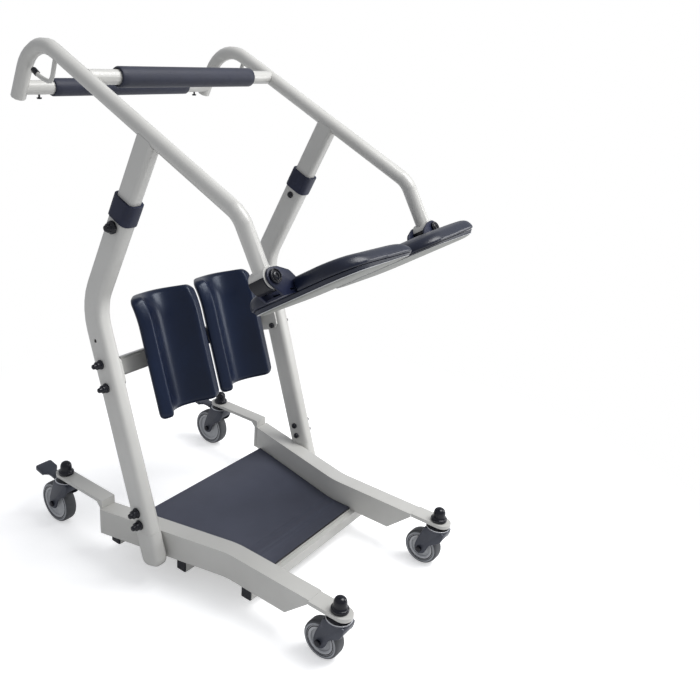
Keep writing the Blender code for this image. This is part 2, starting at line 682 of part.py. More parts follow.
def make_uprights():
    """Bent tubes bolted over spigots on stubs that are welded outside the legs."""
    foot_holes = [on_side(FOOT + LOWER_UP * (FOOT_BOLT_LOW + step * FOOT_BOLT_PITCH)) for step in range(2)]
    knee_holes = [on_side(FOOT + LOWER_UP * (KNEE_HOLE_LOW + step * KNEE_HOLE_PITCH)) for step in range(3)]
    top = COLLAR + UPPER_UP * (COLLAR_HEIGHT / 2 - COLLAR_LIP)
    path = round_path([on_side(FOOT), on_side(BEND), on_side(top)], [UPRIGHT_BEND_RADIUS])
    upright = section_tube("left_upright", path, UPRIGHT_DEPTH, UPRIGHT_WIDTH, UPRIGHT_CORNER, UPRIGHT_WALL)
    piece(upright, "left_upright", PAINT)
    clamp = on_side(COLLAR - UPPER_UP * CLAMP_DROP)
    for index, place in enumerate(foot_holes + knee_holes):
        boolean(upright, cross_hole("upright_hole_%d" % index, place))
    boolean(upright, cross_hole("clamp_hole", clamp, CLAMP_SCREW_RADIUS + PIN_GAP))

    bottom = FOOT - LOWER_UP * ((FOOT_JOINT_Z - STUB_BOTTOM_Z) / LOWER_UP.z)
    path = [on_side(bottom + LOWER_UP * rise) for rise, scale in STUB_ROUNDING]
    path.append(on_side(FOOT - LOWER_UP * GAP))
    scales = [scale for rise, scale in STUB_ROUNDING]
    stub = section_tube("left_leg_stub", path, UPRIGHT_DEPTH, UPRIGHT_WIDTH, UPRIGHT_CORNER, scales=scales)
    piece(stub, "left_leg_stub", PAINT)
    inset = UPRIGHT_WALL + GAP
    path = [on_side(FOOT - LOWER_UP * SPIGOT_LENGTH / 4), on_side(FOOT + LOWER_UP * SPIGOT_LENGTH)]
    spigot = section_tube("spigot", path, UPRIGHT_DEPTH - 2 * inset, UPRIGHT_WIDTH - 2 * inset,
                          UPRIGHT_CORNER - inset)
    boolean(stub, cutter(spigot, "spigot"), "UNION")
    clearance = flat_shape("leg_clearance", leg_outline(GAP, LEG_FRONT_Y, LEG_END_Y), LEG_HEIGHT + 2 * GAP,
                           Matrix.Translation((0, 0, LEG_TOP - LEG_HEIGHT / 2)))
    boolean(stub, cutter(clearance, "leg_clearance"))
    boolean(upright, bpy.data.objects["leg_clearance"])
    for index, place in enumerate(foot_holes):
        boolean(stub, cross_hole("spigot_hole_%d" % index, place))
    pair(upright, "upright")
    pair(stub, "leg_stub")


def make_collars():
    """Plastic sleeves on the uprights' tops that guide the upper tubes."""
    low = COLLAR - UPPER_UP * COLLAR_HEIGHT / 2
    high = COLLAR + UPPER_UP * COLLAR_HEIGHT / 2
    grow = COLLAR_WALL + GAP
    collar = section_tube("left_collar", [on_side(low), on_side(high)], UPRIGHT_DEPTH + 2 * grow,
                          UPRIGHT_WIDTH + 2 * grow, UPRIGHT_CORNER + COLLAR_WALL)
    piece(collar, "left_collar", COLLAR_PLASTIC)
    path = [on_side(low - UPPER_UP * COLLAR_LIP), on_side(high - UPPER_UP * (COLLAR_LIP - GAP))]
    seat = section_tube("collar_seat", path, UPRIGHT_DEPTH + 2 * GAP, UPRIGHT_WIDTH + 2 * GAP,
                        UPRIGHT_CORNER + GAP)
    boolean(collar, cutter(seat, "collar_seat"))
    inset = UPRIGHT_WALL - SLIDE_GAP / 2
    throat = section_tube("collar_throat", [on_side(COLLAR), on_side(high + UPPER_UP * COLLAR_LIP)],
                          UPRIGHT_DEPTH - 2 * inset, UPRIGHT_WIDTH - 2 * inset, UPRIGHT_CORNER - inset)
    boolean(collar, cutter(throat, "collar_throat"))
    pair(collar, "collar")


def make_clamps():
    """A round knob outside each upright, on a stud that goes through it to a round nut pinned on inside."""
    clamp = on_side(COLLAR - UPPER_UP * CLAMP_DROP)
    face = UPRIGHT_WIDTH / 2 + GAP
    flange = face + KNOB_FLANGE
    end = face + KNOB_LENGTH
    soft = 0.0015
    profile = [(0, end), (KNOB_TIP_RADIUS - soft, end), (KNOB_TIP_RADIUS, end - soft), (KNOB_TIP_RADIUS, flange),
               (KNOB_RADIUS - soft, flange), (KNOB_RADIUS, flange - soft), (KNOB_RADIUS, face + soft),
               (KNOB_RADIUS - soft, face), (CLAMP_SCREW_RADIUS, face), (CLAMP_SCREW_RADIUS, -face),
               (CLAMP_NUT_RADIUS, -face), (CLAMP_NUT_RADIUS, -face - CLAMP_NUT_HEIGHT * 0.5),
               (CLAMP_NUT_RADIUS * 0.6, -face - CLAMP_NUT_HEIGHT), (0, -face - CLAMP_NUT_HEIGHT)]
    knob = turned("left_clamp_knob", profile, SMALL_STEPS, clamp, (1, 0, 0))
    left, right = pair(piece(knob, "left_clamp_knob", BLACK_PLASTIC), "clamp_knob")
    for side, sign, made in (("left", 1, left), ("right", -1, right)):
        carry(pivot(side + "_clamp_axis", (sign * clamp.x, clamp.y, clamp.z)), made)


def rail_path():
    """The whole rail, from the seat hinge over the bend and the hook to the open end."""
    corners = [on_side(SEAT_HINGE), on_side(RAIL_BEND), on_side(HOOK[0])]
    straight = round_path(corners, [RAIL_BEND_RADIUS], steps=4)
    return straight[:-1] + [on_side(point) for point in HOOK]


def make_upper_frame():
    """Side rails, telescopic tubes, hand bars with foam grips and bag hooks, which rise together."""
    moving = []
    path = rail_path()
    rail = piece(pipe("left_side_rail", path, RAIL_RADIUS, RAIL_WALL), "left_side_rail", PAINT)
    clearance = cutter(pipe("rail_clearance", path, RAIL_RADIUS + GAP), "rail_clearance")
    clearance.data.materials.append(PAINT)
    hinge = on_side(SEAT_HINGE)
    half = SEAT_BACK * BARREL_LENGTH / 2
    barrel = rod("hinge_barrel", hinge - half, hinge + half, BARREL_RADIUS, ROUND_STEPS)
    boolean(rail, cutter(barrel, "hinge_barrel"), "UNION")
    bore = rod("barrel_bore", hinge - half * 2, hinge + half * 2, HINGE_PIN_RADIUS + PIN_GAP)
    boolean(rail, cutter(bore, "barrel_bore"))
    moving += pair(rail, "side_rail")

    meet = COLLAR + UPPER_UP * ((rail_point(COLLAR.y) - COLLAR).dot(UPPER_UP))
    low = COLLAR - UPPER_UP * TUBE_INSERTION
    inset = UPRIGHT_WALL + SLIDE_GAP
    tube = section_tube("left_height_tube", [on_side(low), on_side(meet)], UPRIGHT_DEPTH - 2 * inset,
                        UPRIGHT_WIDTH - 2 * inset, TUBE_CORNER, TUBE_WALL)
    piece(tube, "left_height_tube", PAINT)
    boolean(tube, clearance)
    clamp = COLLAR - UPPER_UP * CLAMP_DROP
    slot_high = on_side(clamp + UPPER_UP * HEIGHT_DOWN)
    slot_low = on_side(clamp - UPPER_UP * HEIGHT_UP)
    radius = CLAMP_SCREW_RADIUS + SLIDE_GAP
    slot_size = (UPRIGHT_WIDTH * 2, 2 * radius, (slot_high - slot_low).length)
    slot = box("tube_slot", slot_size, (slot_high + slot_low) / 2, frame_of(Vector((1, 0, 0)), UPPER_UP))
    boolean(tube, cutter(slot, "tube_slot"))
    for index, place in enumerate((slot_high, slot_low)):
        boolean(tube, cross_hole("slot_end_%d" % index, place, radius))
    moving += pair(tube, "height_tube")

    bars = (("front", FRONT_BAR, FRONT_GRIP_HALF, FRONT_GRIP_RADIUS),
            ("rear", REAR_BAR, REAR_GRIP_HALF, REAR_GRIP_RADIUS))
    for name, place, grip_half, grip_radius in bars:
        span = Vector((SIDE_X, 0, 0))
        bar = pipe(name + "_hand_bar", [place - span, place + span], BAR_RADIUS, BAR_WALL)
        piece(bar, name + "_hand_bar", PAINT)
        boolean(bar, clearance)
        boolean(bar, cutter(mirrored(clearance, name + "_far_clearance"), name + "_far_clearance"))
        ends = Vector((grip_half, 0, 0))
        edge = 0.003
        bore = BAR_RADIUS + GAP
        profile = [(grip_radius - edge, grip_half), (grip_radius, grip_half - edge),
                   (grip_radius, edge - grip_half), (grip_radius - edge, -grip_half),
                   (bore, -grip_half), (bore, grip_half)]
        grip = piece(turned(name + "_grip", profile, ROUND_STEPS, place, ends), name + "_grip", FOAM)
        moving += [bar, grip]

    start = rail_point(BAG_HOOK_Y)
    fall = Vector((0, -0.35, -1)).normalized()
    low = start + fall * (RAIL_RADIUS + BAG_HOOK_FALL)
    front = low + Vector((0, -1, 0.25)).normalized() * (2 * BAG_HOOK_BEND)
    tip = front + Vector((0, -0.75, 0.45)).normalized() * BAG_HOOK_RISE
    top = start + fall * ((RAIL_RADIUS + GAP) / fall.dot(-UPPER_UP))
    corners = [on_side(top), on_side(low), on_side(front), on_side(tip)]
    path = round_path(corners, [BAG_HOOK_BEND * 0.7, BAG_HOOK_BEND])
    hook = piece(pipe("left_bag_hook", path, BAG_ROD_RADIUS, resolution=2), "left_bag_hook", PAINT)
    knob = turned("hook_tip", [(0, BAG_TIP_RADIUS), (BAG_TIP_RADIUS * 0.8, BAG_TIP_RADIUS * 0.8),
                               (BAG_TIP_RADIUS, 0), (BAG_TIP_RADIUS, -BAG_TIP_RADIUS), (0, -BAG_TIP_RADIUS)],
                  12, path[-1], path[-1] - path[-2])
    boolean(hook, cutter(knob, "hook_tip"), "UNION")
    moving += pair(hook, "bag_hook")
    carry(pivot("height_slide", COLLAR), *moving)


def make_knee_support():
    """A bar across in front of the uprights, with gussets inside them and two dished pads."""
    middle_hole = FOOT + LOWER_UP * (KNEE_HOLE_LOW + KNEE_HOLE_PITCH / 2)
    centre = middle_hole + LOWER_FRONT * KNEE_BAR_FORWARD
    inner = SIDE_X - UPRIGHT_WIDTH / 2 - GAP
    turn = frame_of(Vector((1, 0, 0)), LOWER_UP)
    size = (2 * inner - GUSSET_THICKNESS, KNEE_BAR_DEPTH, KNEE_BAR_HEIGHT)
    bar = piece(box("knee_bar", size, centre, turn, KNEE_BAR_CORNER), "knee_bar", PAINT)
    front = KNEE_BAR_FORWARD + KNEE_BAR_DEPTH / 2
    half = GUSSET_HEIGHT / 2
    cut = 0.012
    outline = [(-GUSSET_REAR, cut - half), (cut - GUSSET_REAR, -half), (front - cut, -half), (front, cut - half),
               (front, half - cut), (front - cut, half), (cut - GUSSET_REAR, half), (-GUSSET_REAR, half - cut)]
    for side, sign in SIDES:
        place = middle_hole + Vector((sign * (inner - GUSSET_THICKNESS / 2), 0, 0))
        facing = Matrix((LOWER_FRONT, LOWER_UP, LOWER_FRONT.cross(LOWER_UP))).transposed().to_4x4()
        plate = flat_shape("gusset", outline, GUSSET_THICKNESS, Matrix.Translation(place) @ facing)
        boolean(bar, cutter(plate, side + "_gusset"), "UNION")
        for index in (-0.5, 0.5):
            hole = middle_hole + LOWER_UP * (index * KNEE_HOLE_PITCH) + Vector((sign * inner, 0, 0))
            name = "%s_gusset_hole_%d" % (side, index > 0)
            boolean(bar, cross_hole(name, hole, reach=GUSSET_THICKNESS * 2))

    moving = [bar]
    pads = []
    nuts = []
    back = centre - LOWER_FRONT * (KNEE_BAR_DEPTH / 2 + GAP)
    for side, sign in SIDES:
        middle = back + LOWER_UP * PAD_RISE + Vector((sign * PAD_CENTRE_X, 0, 0))
        pads.append(piece(knee_pad(side + "_knee_pad", middle), side + "_knee_pad", PAD_SKIN))
        stud = centre + Vector((sign * PAD_CENTRE_X, 0, 0))
        front_face = KNEE_BAR_DEPTH / 2 + GAP
        reach = -KNEE_BAR_DEPTH / 2 - PAD_STUD_REACH
        profile = [(0, front_face + PAD_NUT_HEIGHT),
                   (PAD_NUT_RADIUS * 0.6, front_face + PAD_NUT_HEIGHT * 0.85),
                   (PAD_NUT_RADIUS, front_face + PAD_NUT_HEIGHT * 0.4), (PAD_NUT_RADIUS, front_face),
                   (PAD_STUD_RADIUS, front_face), (PAD_STUD_RADIUS, reach), (0, reach)]
        nut = turned(side + "_knee_pad_nut", profile, SMALL_STEPS, stud, LOWER_FRONT)
        nuts.append(piece(nut, side + "_knee_pad_nut", BLACK_PLASTIC))
        hole_start = stud + LOWER_FRONT * KNEE_BAR_DEPTH
        hole_end = stud - LOWER_FRONT * (KNEE_BAR_DEPTH / 2 + PAD_STUD_REACH + GAP)
        hole = rod(side + "_stud_hole", hole_start, hole_end, PAD_STUD_RADIUS + PIN_GAP, steps=12)
        boolean(bar, cutter(hole, side + "_stud_hole"))
        boolean(pads[-1], hole)
    moving += pads + nuts
    carry(pivot("knee_slide", middle_hole), *moving)


def knee_pad(name, middle):
    """A dished pad: hollow between two crests, its back bent forward beside the bar, its top rolled over it."""
    half_width = PAD_WIDTH / 2
    half_height = PAD_HEIGHT / 2
    columns = (0.0, PAD_BACK_FLAT / 2, PAD_BACK_FLAT, (PAD_BACK_FLAT + PAD_CREST) / 2, PAD_CREST,
               1 - PAD_CORNER / half_width, 1.0)
    columns = [-u for u in columns[:0:-1]] + list(columns)
    rows = (PAD_CORNER / half_height - 1, -0.4, 0.1, 0.5, 0.72, 1 - PAD_CORNER / half_height)
    rows = (-1.0,) + rows + (1.0,)
    shape = bmesh.new()
    sheets = []
    for is_front in (True, False):
        sheet = []
        for v in rows:
            for u in columns:
                away = abs(u)
                if is_front:
                    deep = PAD_THICKNESS + PAD_HOLLOW * min(away / PAD_CREST, 1.0) ** 2
                    deep -= PAD_FLANK * max((away - PAD_CREST) / (1 - PAD_CREST), 0.0)
                else:
                    deep = PAD_BACK_EDGE * max((away - PAD_BACK_FLAT) / (1 - PAD_BACK_FLAT), 0.0)
                lip = PAD_LIP_SIDE + (PAD_LIP - PAD_LIP_SIDE) * (1 - u * u)
                deep -= lip * max((v - 0.5) / 0.5, 0.0) ** 2
                arch = PAD_ARCH * (1 - u * u) * max(v, 0.0)
                rounding = 1 - math.sqrt(0.5)
                cut = PAD_CORNER * rounding if away == 1 and abs(v) == 1 else 0.0
                across = math.copysign(half_width * away - cut, u)
                up = math.copysign(half_height * abs(v) - cut, v)
                sheet.append(shape.verts.new((across, deep, up + arch)))
        sheets.append(sheet)
    front, back = sheets
    wide = len(columns)
    for row in range(len(rows) - 1):
        for column in range(wide - 1):
            at = row * wide + column
            shape.faces.new((front[at], front[at + 1], front[at + wide + 1], front[at + wide]))
            shape.faces.new((back[at], back[at + wide], back[at + wide + 1], back[at + 1]))
    last = (len(rows) - 1) * wide
    rim = list(range(wide)) + [row * wide + wide - 1 for row in range(1, len(rows))]
    rim += [last + column for column in range(wide - 2, -1, -1)]
    rim += [row * wide for row in range(len(rows) - 2, 0, -1)]
    for at, after in zip(rim, rim[1:] + rim[:1]):
        shape.faces.new((front[after], front[at], back[at], back[after]))
    bmesh.ops.recalc_face_normals(shape, faces=shape.faces)
    basis = Matrix((Vector((1, 0, 0)), -LOWER_FRONT, LOWER_UP)).transposed().to_4x4()
    bmesh.ops.transform(shape, matrix=Matrix.Translation(middle) @ basis, verts=shape.verts)
    made = mesh_object(name, shape)
    soft = made.modifiers.new("edge", "BEVEL")
    soft.width = PAD_EDGE
    soft.segments = 2
    soft.limit_method = "ANGLE"
    soft.angle_limit = math.radians(50)
    smooth(made, 60)
    return made


def seat_frame(across, along, rise):
    """A point of a seat half: across the chair, along from its middle, rise from the plate's underside."""
    origin = SEAT_HINGE + SEAT_BACK * SEAT_AXIS_BACK - SEAT_NORMAL * SEAT_AXIS_RISE
    return origin + Vector((across, 0, 0)) + SEAT_BACK * along + SEAT_NORMAL * rise


def make_seat():
    """Two halves on hinges along their outer edges, which swing up against the rails."""
    basis = Matrix((Vector((1, 0, 0)), SEAT_BACK, SEAT_NORMAL)).transposed().to_4x4()
    low_inset = SEAT_PLATE_INSET + SEAT_PLATE_DRAW
    insets = ((0.0, low_inset), (SEAT_PLATE_THICKNESS * 0.45, low_inset * 0.5),
              (SEAT_PLATE_THICKNESS, SEAT_PLATE_INSET))
    layers = [(rise, inset, inset, inset) for rise, inset in insets]
    plate = layered("left_seat_plate", layers, 0.0, SEAT_PLATE_WEDGE)
    piece(plate, "left_seat_plate", SEAT_BASE)

    ear_middle = BARREL_LENGTH / 2 + GAP + EAR_THICKNESS / 2
    floor = SEAT_PLATE_THICKNESS + GAP
    steps = 8
    ear_outline = [(SIDE_X - EAR_REACH, floor), (SIDE_X - EAR_REACH, floor + BRACKET_FLOOR * 2)]
    for step in range(steps + 1):
        turn = math.radians(125 - 140 * step / steps)
        round_x = SIDE_X + EAR_RADIUS * math.cos(turn)
        ear_outline.append((round_x, SEAT_AXIS_RISE + EAR_RADIUS * math.sin(turn)))
    ear_outline.append((SIDE_X - EAR_OUTER_FOOT, floor))
    across = Vector((1, 0, 0))
    facing = Matrix((across, SEAT_NORMAL, across.cross(SEAT_NORMAL))).transposed().to_4x4()
    place = Matrix.Translation(seat_frame(0, -SEAT_AXIS_BACK, 0)) @ facing
    bracket = flat_shape("left_seat_bracket", ear_outline[::-1], 2 * ear_middle + EAR_THICKNESS, place)
    piece(bracket, "left_seat_bracket", COLLAR_PLASTIC)
    room_height = SEAT_AXIS_RISE + 2 * EAR_RADIUS
    room = box("bracket_room", (4 * EAR_REACH, 2 * ear_middle - EAR_THICKNESS, room_height),
               seat_frame(SIDE_X, -SEAT_AXIS_BACK, floor + BRACKET_FLOOR + room_height / 2), basis.to_3x3())
    boolean(bracket, cutter(room, "bracket_room"))
    hinge = on_side(SEAT_HINGE)
    reach = SEAT_BACK * BARREL_LENGTH
    bore = rod("ear_bore", hinge - reach, hinge + reach, HINGE_PIN_RADIUS + PIN_GAP)
    boolean(bracket, cutter(bore, "ear_bore"))

    layers = [(floor + ring[0] * CUSHION_HEIGHT,) + ring[1:] for ring in CUSHION_RINGS]
    cushion = piece(layered("left_seat_cushion", layers, CUSHION_CROWN), "left_seat_cushion", SEAT_SKIN)
    notch_half = ear_middle + EAR_THICKNESS / 2 + NOTCH_MARGIN
    notch_in = SIDE_X - EAR_REACH - NOTCH_MARGIN
    notch_size = (2 * (SEAT_OUTER_X - notch_in), 2 * notch_half, 4 * CUSHION_HEIGHT)
    notch_middle = seat_frame(SEAT_OUTER_X, -SEAT_AXIS_BACK, floor)
    notch = box("cushion_notch", notch_size, notch_middle, basis.to_3x3())
    boolean(cushion, cutter(notch, "cushion_notch"))

    outer = ear_middle + EAR_THICKNESS / 2 + GAP
    profile = [(0, outer + HINGE_HEAD_HEIGHT), (HINGE_HEAD_RADIUS * 0.75, outer + HINGE_HEAD_HEIGHT),
               (HINGE_HEAD_RADIUS, outer + HINGE_HEAD_HEIGHT * 0.5), (HINGE_HEAD_RADIUS, outer),
               (HINGE_PIN_RADIUS, outer), (HINGE_PIN_RADIUS, -outer), (HINGE_HEAD_RADIUS * 0.8, -outer),
               (HINGE_HEAD_RADIUS * 0.8, -outer - HINGE_HEAD_HEIGHT), (0, -outer - HINGE_HEAD_HEIGHT)]
    pin = turned("left_seat_hinge_pin", profile, SMALL_STEPS, hinge, SEAT_BACK)
    piece(pin, "left_seat_hinge_pin", BLACK_PLASTIC)
    carry(bpy.data.objects["height_slide"], *pair(pin, "seat_hinge_pin"))
    sag = Matrix.Translation(hinge) @ Matrix.Rotation(-SEAT_SAG, 4, SEAT_BACK) @ Matrix.Translation(-hinge)
    for hung in (plate, bracket, cushion):
        hung.data.transform(sag)
    halves = zip(pair(plate, "seat_plate"), pair(bracket, "seat_bracket"), pair(cushion, "seat_cushion"))
    for (side, sign), half_seat in zip(SIDES, halves):
        axis = pivot(side + "_seat_axis", (sign * hinge.x, hinge.y, hinge.z))
        carry(bpy.data.objects["height_slide"], axis)
        carry(axis, *half_seat)


def layered(name, layers, crown, wedge=0.0):
    """A seat half's solid, from outlines at given heights, drawn in at outer side, inner side and ends."""
    width = SEAT_OUTER_X - SEAT_INNER_X
    middle = (SEAT_OUTER_X + SEAT_INNER_X) / 2
    shape = bmesh.new()
    loops = []
    for rise, outer, inner, end in layers:
        shift = (inner - outer) / 2
        corner = SEAT_CORNER - (outer + inner + 2 * end) / 5
        outline = rounded_rectangle(width - outer - inner, SEAT_LENGTH - 2 * end, corner, 4)
        low = 1 - rise / layers[-1][0]
        loop = []
        for x, y in outline:
            lift = wedge * low * (0.5 - (x + shift) / width)
            loop.append(shape.verts.new((x + shift, y, rise + lift)))
        loops.append(loop)
    count = len(loops[0])
    for index in range(count):
        after = (index + 1) % count
        for low, high in zip(loops, loops[1:]):
            shape.faces.new((low[index], low[after], high[after], high[index]))
    shape.faces.new(loops[0][::-1])
    if crown:
        top = loops[-1]
        hub = Vector((shift, 0, rise + crown))
        for share, lift in ((0.72, 0.7), (0.36, 0.95)):
            ring = []
            for corner in loops[-1]:
                flat = hub + (corner.co - hub) * share
                ring.append(shape.verts.new((flat.x, flat.y, rise + crown * lift)))
            for index in range(count):
                after = (index + 1) % count
                shape.faces.new((top[index], top[after], ring[after], ring[index]))
            top = ring
        peak = shape.verts.new(hub)
        for index in range(count):
            shape.faces.new((top[index], top[(index + 1) % count], peak))
    else:
        shape.faces.new(loops[-1])
    basis = Matrix((Vector((1, 0, 0)), SEAT_BACK, SEAT_NORMAL)).transposed().to_4x4()
    place = Matrix.Translation(seat_frame(middle, 0, 0)) @ basis
    bmesh.ops.transform(shape, matrix=place, verts=shape.verts)
    made = mesh_object(name, shape)
    smooth(made, 50)
    return made


def make_caster(name, stem_x, stem_y, height, wheel_radius, trail, plate_top, pedal):
    """A swivelling caster: fixed head, fork with axle, hub, tyre and, in front, a brake pedal."""
    stem = Vector((stem_x, stem_y, 0))
    race_low = height - GAP - RACE_HEIGHT
    crown_top = race_low - GAP
    crown_low = crown_top - CROWN_THICKNESS
    rivet_top = crown_low - GAP
    cap = plate_top + GAP
    dome = ((0.42, 0.95), (0.72, 0.80), (0.86, 0.52), (0.88, 0.38), (1.0, 0.34), (1.0, 0.0))
    profile = [(0, cap + CAP_HEIGHT)] + [(CAP_RADIUS * out, cap + CAP_HEIGHT * rise) for out, rise in dome]
    profile += [(STEM_RADIUS, cap), (STEM_RADIUS, height - GAP), (RACE_RADIUS, height - GAP),
                (RACE_RADIUS, race_low), (STEM_RADIUS, race_low), (STEM_RADIUS, rivet_top),
                (KING_RIVET_RADIUS, rivet_top),
                (KING_RIVET_RADIUS, rivet_top - KING_RIVET_HEIGHT), (0, rivet_top - KING_RIVET_HEIGHT)]
    head = turned(name + "_caster_head", profile, CAP_STEPS, stem, (0, 0, 1))
    piece(head, name + "_caster_head", BLACK_PLASTIC)

    axle = Vector((stem_x, stem_y - trail, wheel_radius))
    fork_half = WHEEL_WIDTH / 2 + FORK_GAP + FORK_CHEEK
    cheek = fork_outline(stem_y, axle, crown_top)
    fork = flat_shape(name + "_fork", cheek, 2 * fork_half, side_plane(stem_x))
    piece(fork, name + "_fork", CASTER_METAL)
    room = wheel_radius + FORK_GAP
    hollow = box(name + "_fork_room", (WHEEL_WIDTH + 2 * FORK_GAP, 4 * room, crown_low),
                 (stem_x, axle.y, crown_low / 2))
    boolean(fork, cutter(hollow, name + "_fork_room"))
    reach = Vector((fork_half + AXLE_END, 0, 0))
    spindle = rod(name + "_axle", axle - reach, axle + reach, AXLE_RADIUS)
    boolean(fork, cutter(spindle, name + "_axle"), "UNION")
    king_low = stem + Vector((0, 0, crown_low - RACE_HEIGHT))
    king = rod(name + "_king_hole", king_low, stem + Vector((0, 0, height)), STEM_RADIUS + PIN_GAP)
    boolean(fork, cutter(king, name + "_king_hole"))

    half = WHEEL_WIDTH / 2
    rim = wheel_radius - TREAD
    bore = AXLE_RADIUS + PIN_GAP
    dish = 0.003
    face = half - 0.001
    profile = [(rim - 0.006, face), (rim, face), (rim, -face), (rim - 0.006, -face), (rim - 0.008, dish - face),
               (0.016, dish - face), (0.013, -half), (bore, -half), (bore, half), (0.013, half),
               (0.016, face - dish), (rim - 0.008, face - dish)]
    hub = turned(name + "_wheel_hub", profile, WHEEL_STEPS, axle, (1, 0, 0))
    piece(hub, name + "_wheel_hub", HUB)
    inner = rim + GAP
    shoulder = half - 0.007
    profile = [(inner + 0.002, half), (wheel_radius - 0.003, half - 0.003), (wheel_radius, shoulder - 0.001),
               (wheel_radius, 0.001 - shoulder), (wheel_radius - 0.003, 0.003 - half), (inner + 0.002, -half),
               (inner, 0.002 - half), (inner, half - 0.002)]
    tyre = turned(name + "_tyre", profile, WHEEL_STEPS, axle, (1, 0, 0))
    piece(tyre, name + "_tyre", TYRE)
    swivel = pivot(name + "_swivel_axis", stem + Vector((0, 0, crown_top)))
    roll = pivot(name + "_wheel_axis", axle)
    carry(swivel, fork, roll)
    carry(roll, hub, tyre)
    if pedal:
        make_pedal(name, stem, crown_top, fork, swivel)


def fork_outline(stem_y, axle, top):
    """A fork cheek from the side: wide at the crown, round at the axle."""
    nose = 0.012
    crown_half = 0.023
    steps = 6
    points = [(stem_y + crown_half, top), (stem_y - crown_half, top),
              (stem_y - crown_half - 0.004, top - 0.012)]
    slant = math.atan2(top - axle.z, stem_y - axle.y)
    for step in range(steps + 1):
        turn = math.pi + (slant - math.pi / 2) * 0.5 + (math.pi + 0.25) * step / steps
        points.append((axle.y + nose * math.cos(turn), axle.z + nose * math.sin(turn)))
    points.append((stem_y + crown_half, top - 0.012))
    return points[::-1]


def make_pedal(name, stem, crown_top, fork, swivel):
    """A foot lever that pivots on a cross pin carried by the fork's front edge."""
    hinge = Vector((stem.x, stem.y - 0.033, crown_top - 0.0055))
    inner = WHEEL_WIDTH / 2 + FORK_GAP
    lug_half = inner + FORK_CHEEK
    lug = box(name + "_pedal_lug", (2 * lug_half, 0.020, 0.010), hinge + Vector((0, 0.006, 0)))
    boolean(fork, cutter(lug, name + "_pedal_lug"), "UNION")
    room_size = (PEDAL_WIDTH + 2 * SLIDE_GAP, 0.029, 0.030)
    room = box(name + "_pedal_room", room_size, hinge - Vector((0, 0.0055, 0)))
    boolean(fork, cutter(room, name + "_pedal_room"))
    reach = Vector((lug_half - 0.001, 0, 0))
    pin = rod(name + "_pedal_pin", hinge - reach, hinge + reach, PEDAL_PIN_RADIUS, steps=10)
    boolean(fork, cutter(pin, name + "_pedal_pin"), "UNION")
    thick = PEDAL_THICKNESS
    tip = 0.004 - PEDAL_LENGTH
    outline = [(0.006, -0.0045), (0.006, 0.0045), (-0.010, 0.008), (-0.030, 0.0055), (tip, 0.008),
               (-PEDAL_LENGTH, 0.004), (tip - 0.002, 0.004 - thick), (-0.030, 0.0055 - thick),
               (-0.010, -0.0045)]
    pedal = flat_shape(name + "_brake_pedal", outline, PEDAL_WIDTH, Matrix.Translation(hinge) @ side_plane(0))
    piece(pedal, name + "_brake_pedal", CASTER_METAL)
    past = reach + Vector((PEDAL_PIN_RADIUS, 0, 0))
    bore = rod(name + "_pedal_bore", hinge - past, hinge + past, PEDAL_PIN_RADIUS + PIN_GAP, steps=10)
    boolean(pedal, cutter(bore, name + "_pedal_bore"))
    axis = pivot(name + "_pedal_axis", hinge)
    carry(swivel, axis)
    carry(axis, pedal)


def make_casters():
    for side, sign in SIDES:
        make_caster(side + "_rear", sign * REAR_STEM_X, REAR_STEM_Y, REAR_CASTER_HEIGHT,
                    REAR_WHEEL_RADIUS, REAR_TRAIL, LEG_TOP, False)
        make_caster(side + "_front", sign * FRONT_STEM_X, FRONT_STEM_Y, FRONT_CASTER_HEIGHT,
                    FRONT_WHEEL_RADIUS, FRONT_TRAIL, FRONT_CASTER_HEIGHT + PLATE_THICKNESS, True)


make_legs()
make_caster_plates()
make_foot_tray()
make_uprights()
make_collars()
make_clamps()
make_upper_frame()
make_knee_support()
make_seat()
make_casters()
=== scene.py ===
import json
import math

import bpy
from mathutils import Matrix, Vector


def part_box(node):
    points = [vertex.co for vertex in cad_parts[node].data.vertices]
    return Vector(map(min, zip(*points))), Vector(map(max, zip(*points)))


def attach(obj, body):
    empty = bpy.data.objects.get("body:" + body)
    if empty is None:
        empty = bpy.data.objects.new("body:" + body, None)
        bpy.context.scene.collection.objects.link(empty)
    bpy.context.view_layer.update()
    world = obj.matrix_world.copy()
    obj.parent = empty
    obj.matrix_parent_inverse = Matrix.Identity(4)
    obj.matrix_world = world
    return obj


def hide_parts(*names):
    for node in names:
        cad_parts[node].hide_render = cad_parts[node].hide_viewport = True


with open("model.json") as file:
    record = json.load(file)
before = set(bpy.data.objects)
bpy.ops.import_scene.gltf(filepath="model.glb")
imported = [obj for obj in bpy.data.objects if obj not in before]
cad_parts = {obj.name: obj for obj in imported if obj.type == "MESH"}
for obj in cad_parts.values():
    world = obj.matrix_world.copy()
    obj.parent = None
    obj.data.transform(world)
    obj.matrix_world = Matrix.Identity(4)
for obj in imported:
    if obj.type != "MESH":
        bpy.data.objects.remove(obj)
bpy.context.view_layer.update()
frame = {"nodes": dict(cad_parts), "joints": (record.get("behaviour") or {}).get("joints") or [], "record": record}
sides = {"left": 1, "right": -1}
jointPlace = {joint["name"]: Vector(joint.get("pos_m", (0, 0, 0))) for joint in frame["joints"]}
jointAxis = {joint["name"]: Vector(joint["axis"]) for joint in frame["joints"]}
slotOf = {row["node"]: row["material_slot"] for row in frame["record"]["subparts"]}
acrossAxis, alongAxis, upAxis = Vector((1, 0, 0)), Vector((0, 1, 0)), Vector((0, 0, 1))
mirrorX = Matrix.Scale(-1, 4, acrossAxis)
print("frame loaded", len(frame["nodes"]), "nodes")

# Tools for objects and node trees


def newObject(name, data):
    made = bpy.data.objects.new(name, data)
    bpy.context.scene.collection.objects.link(made)
    return made


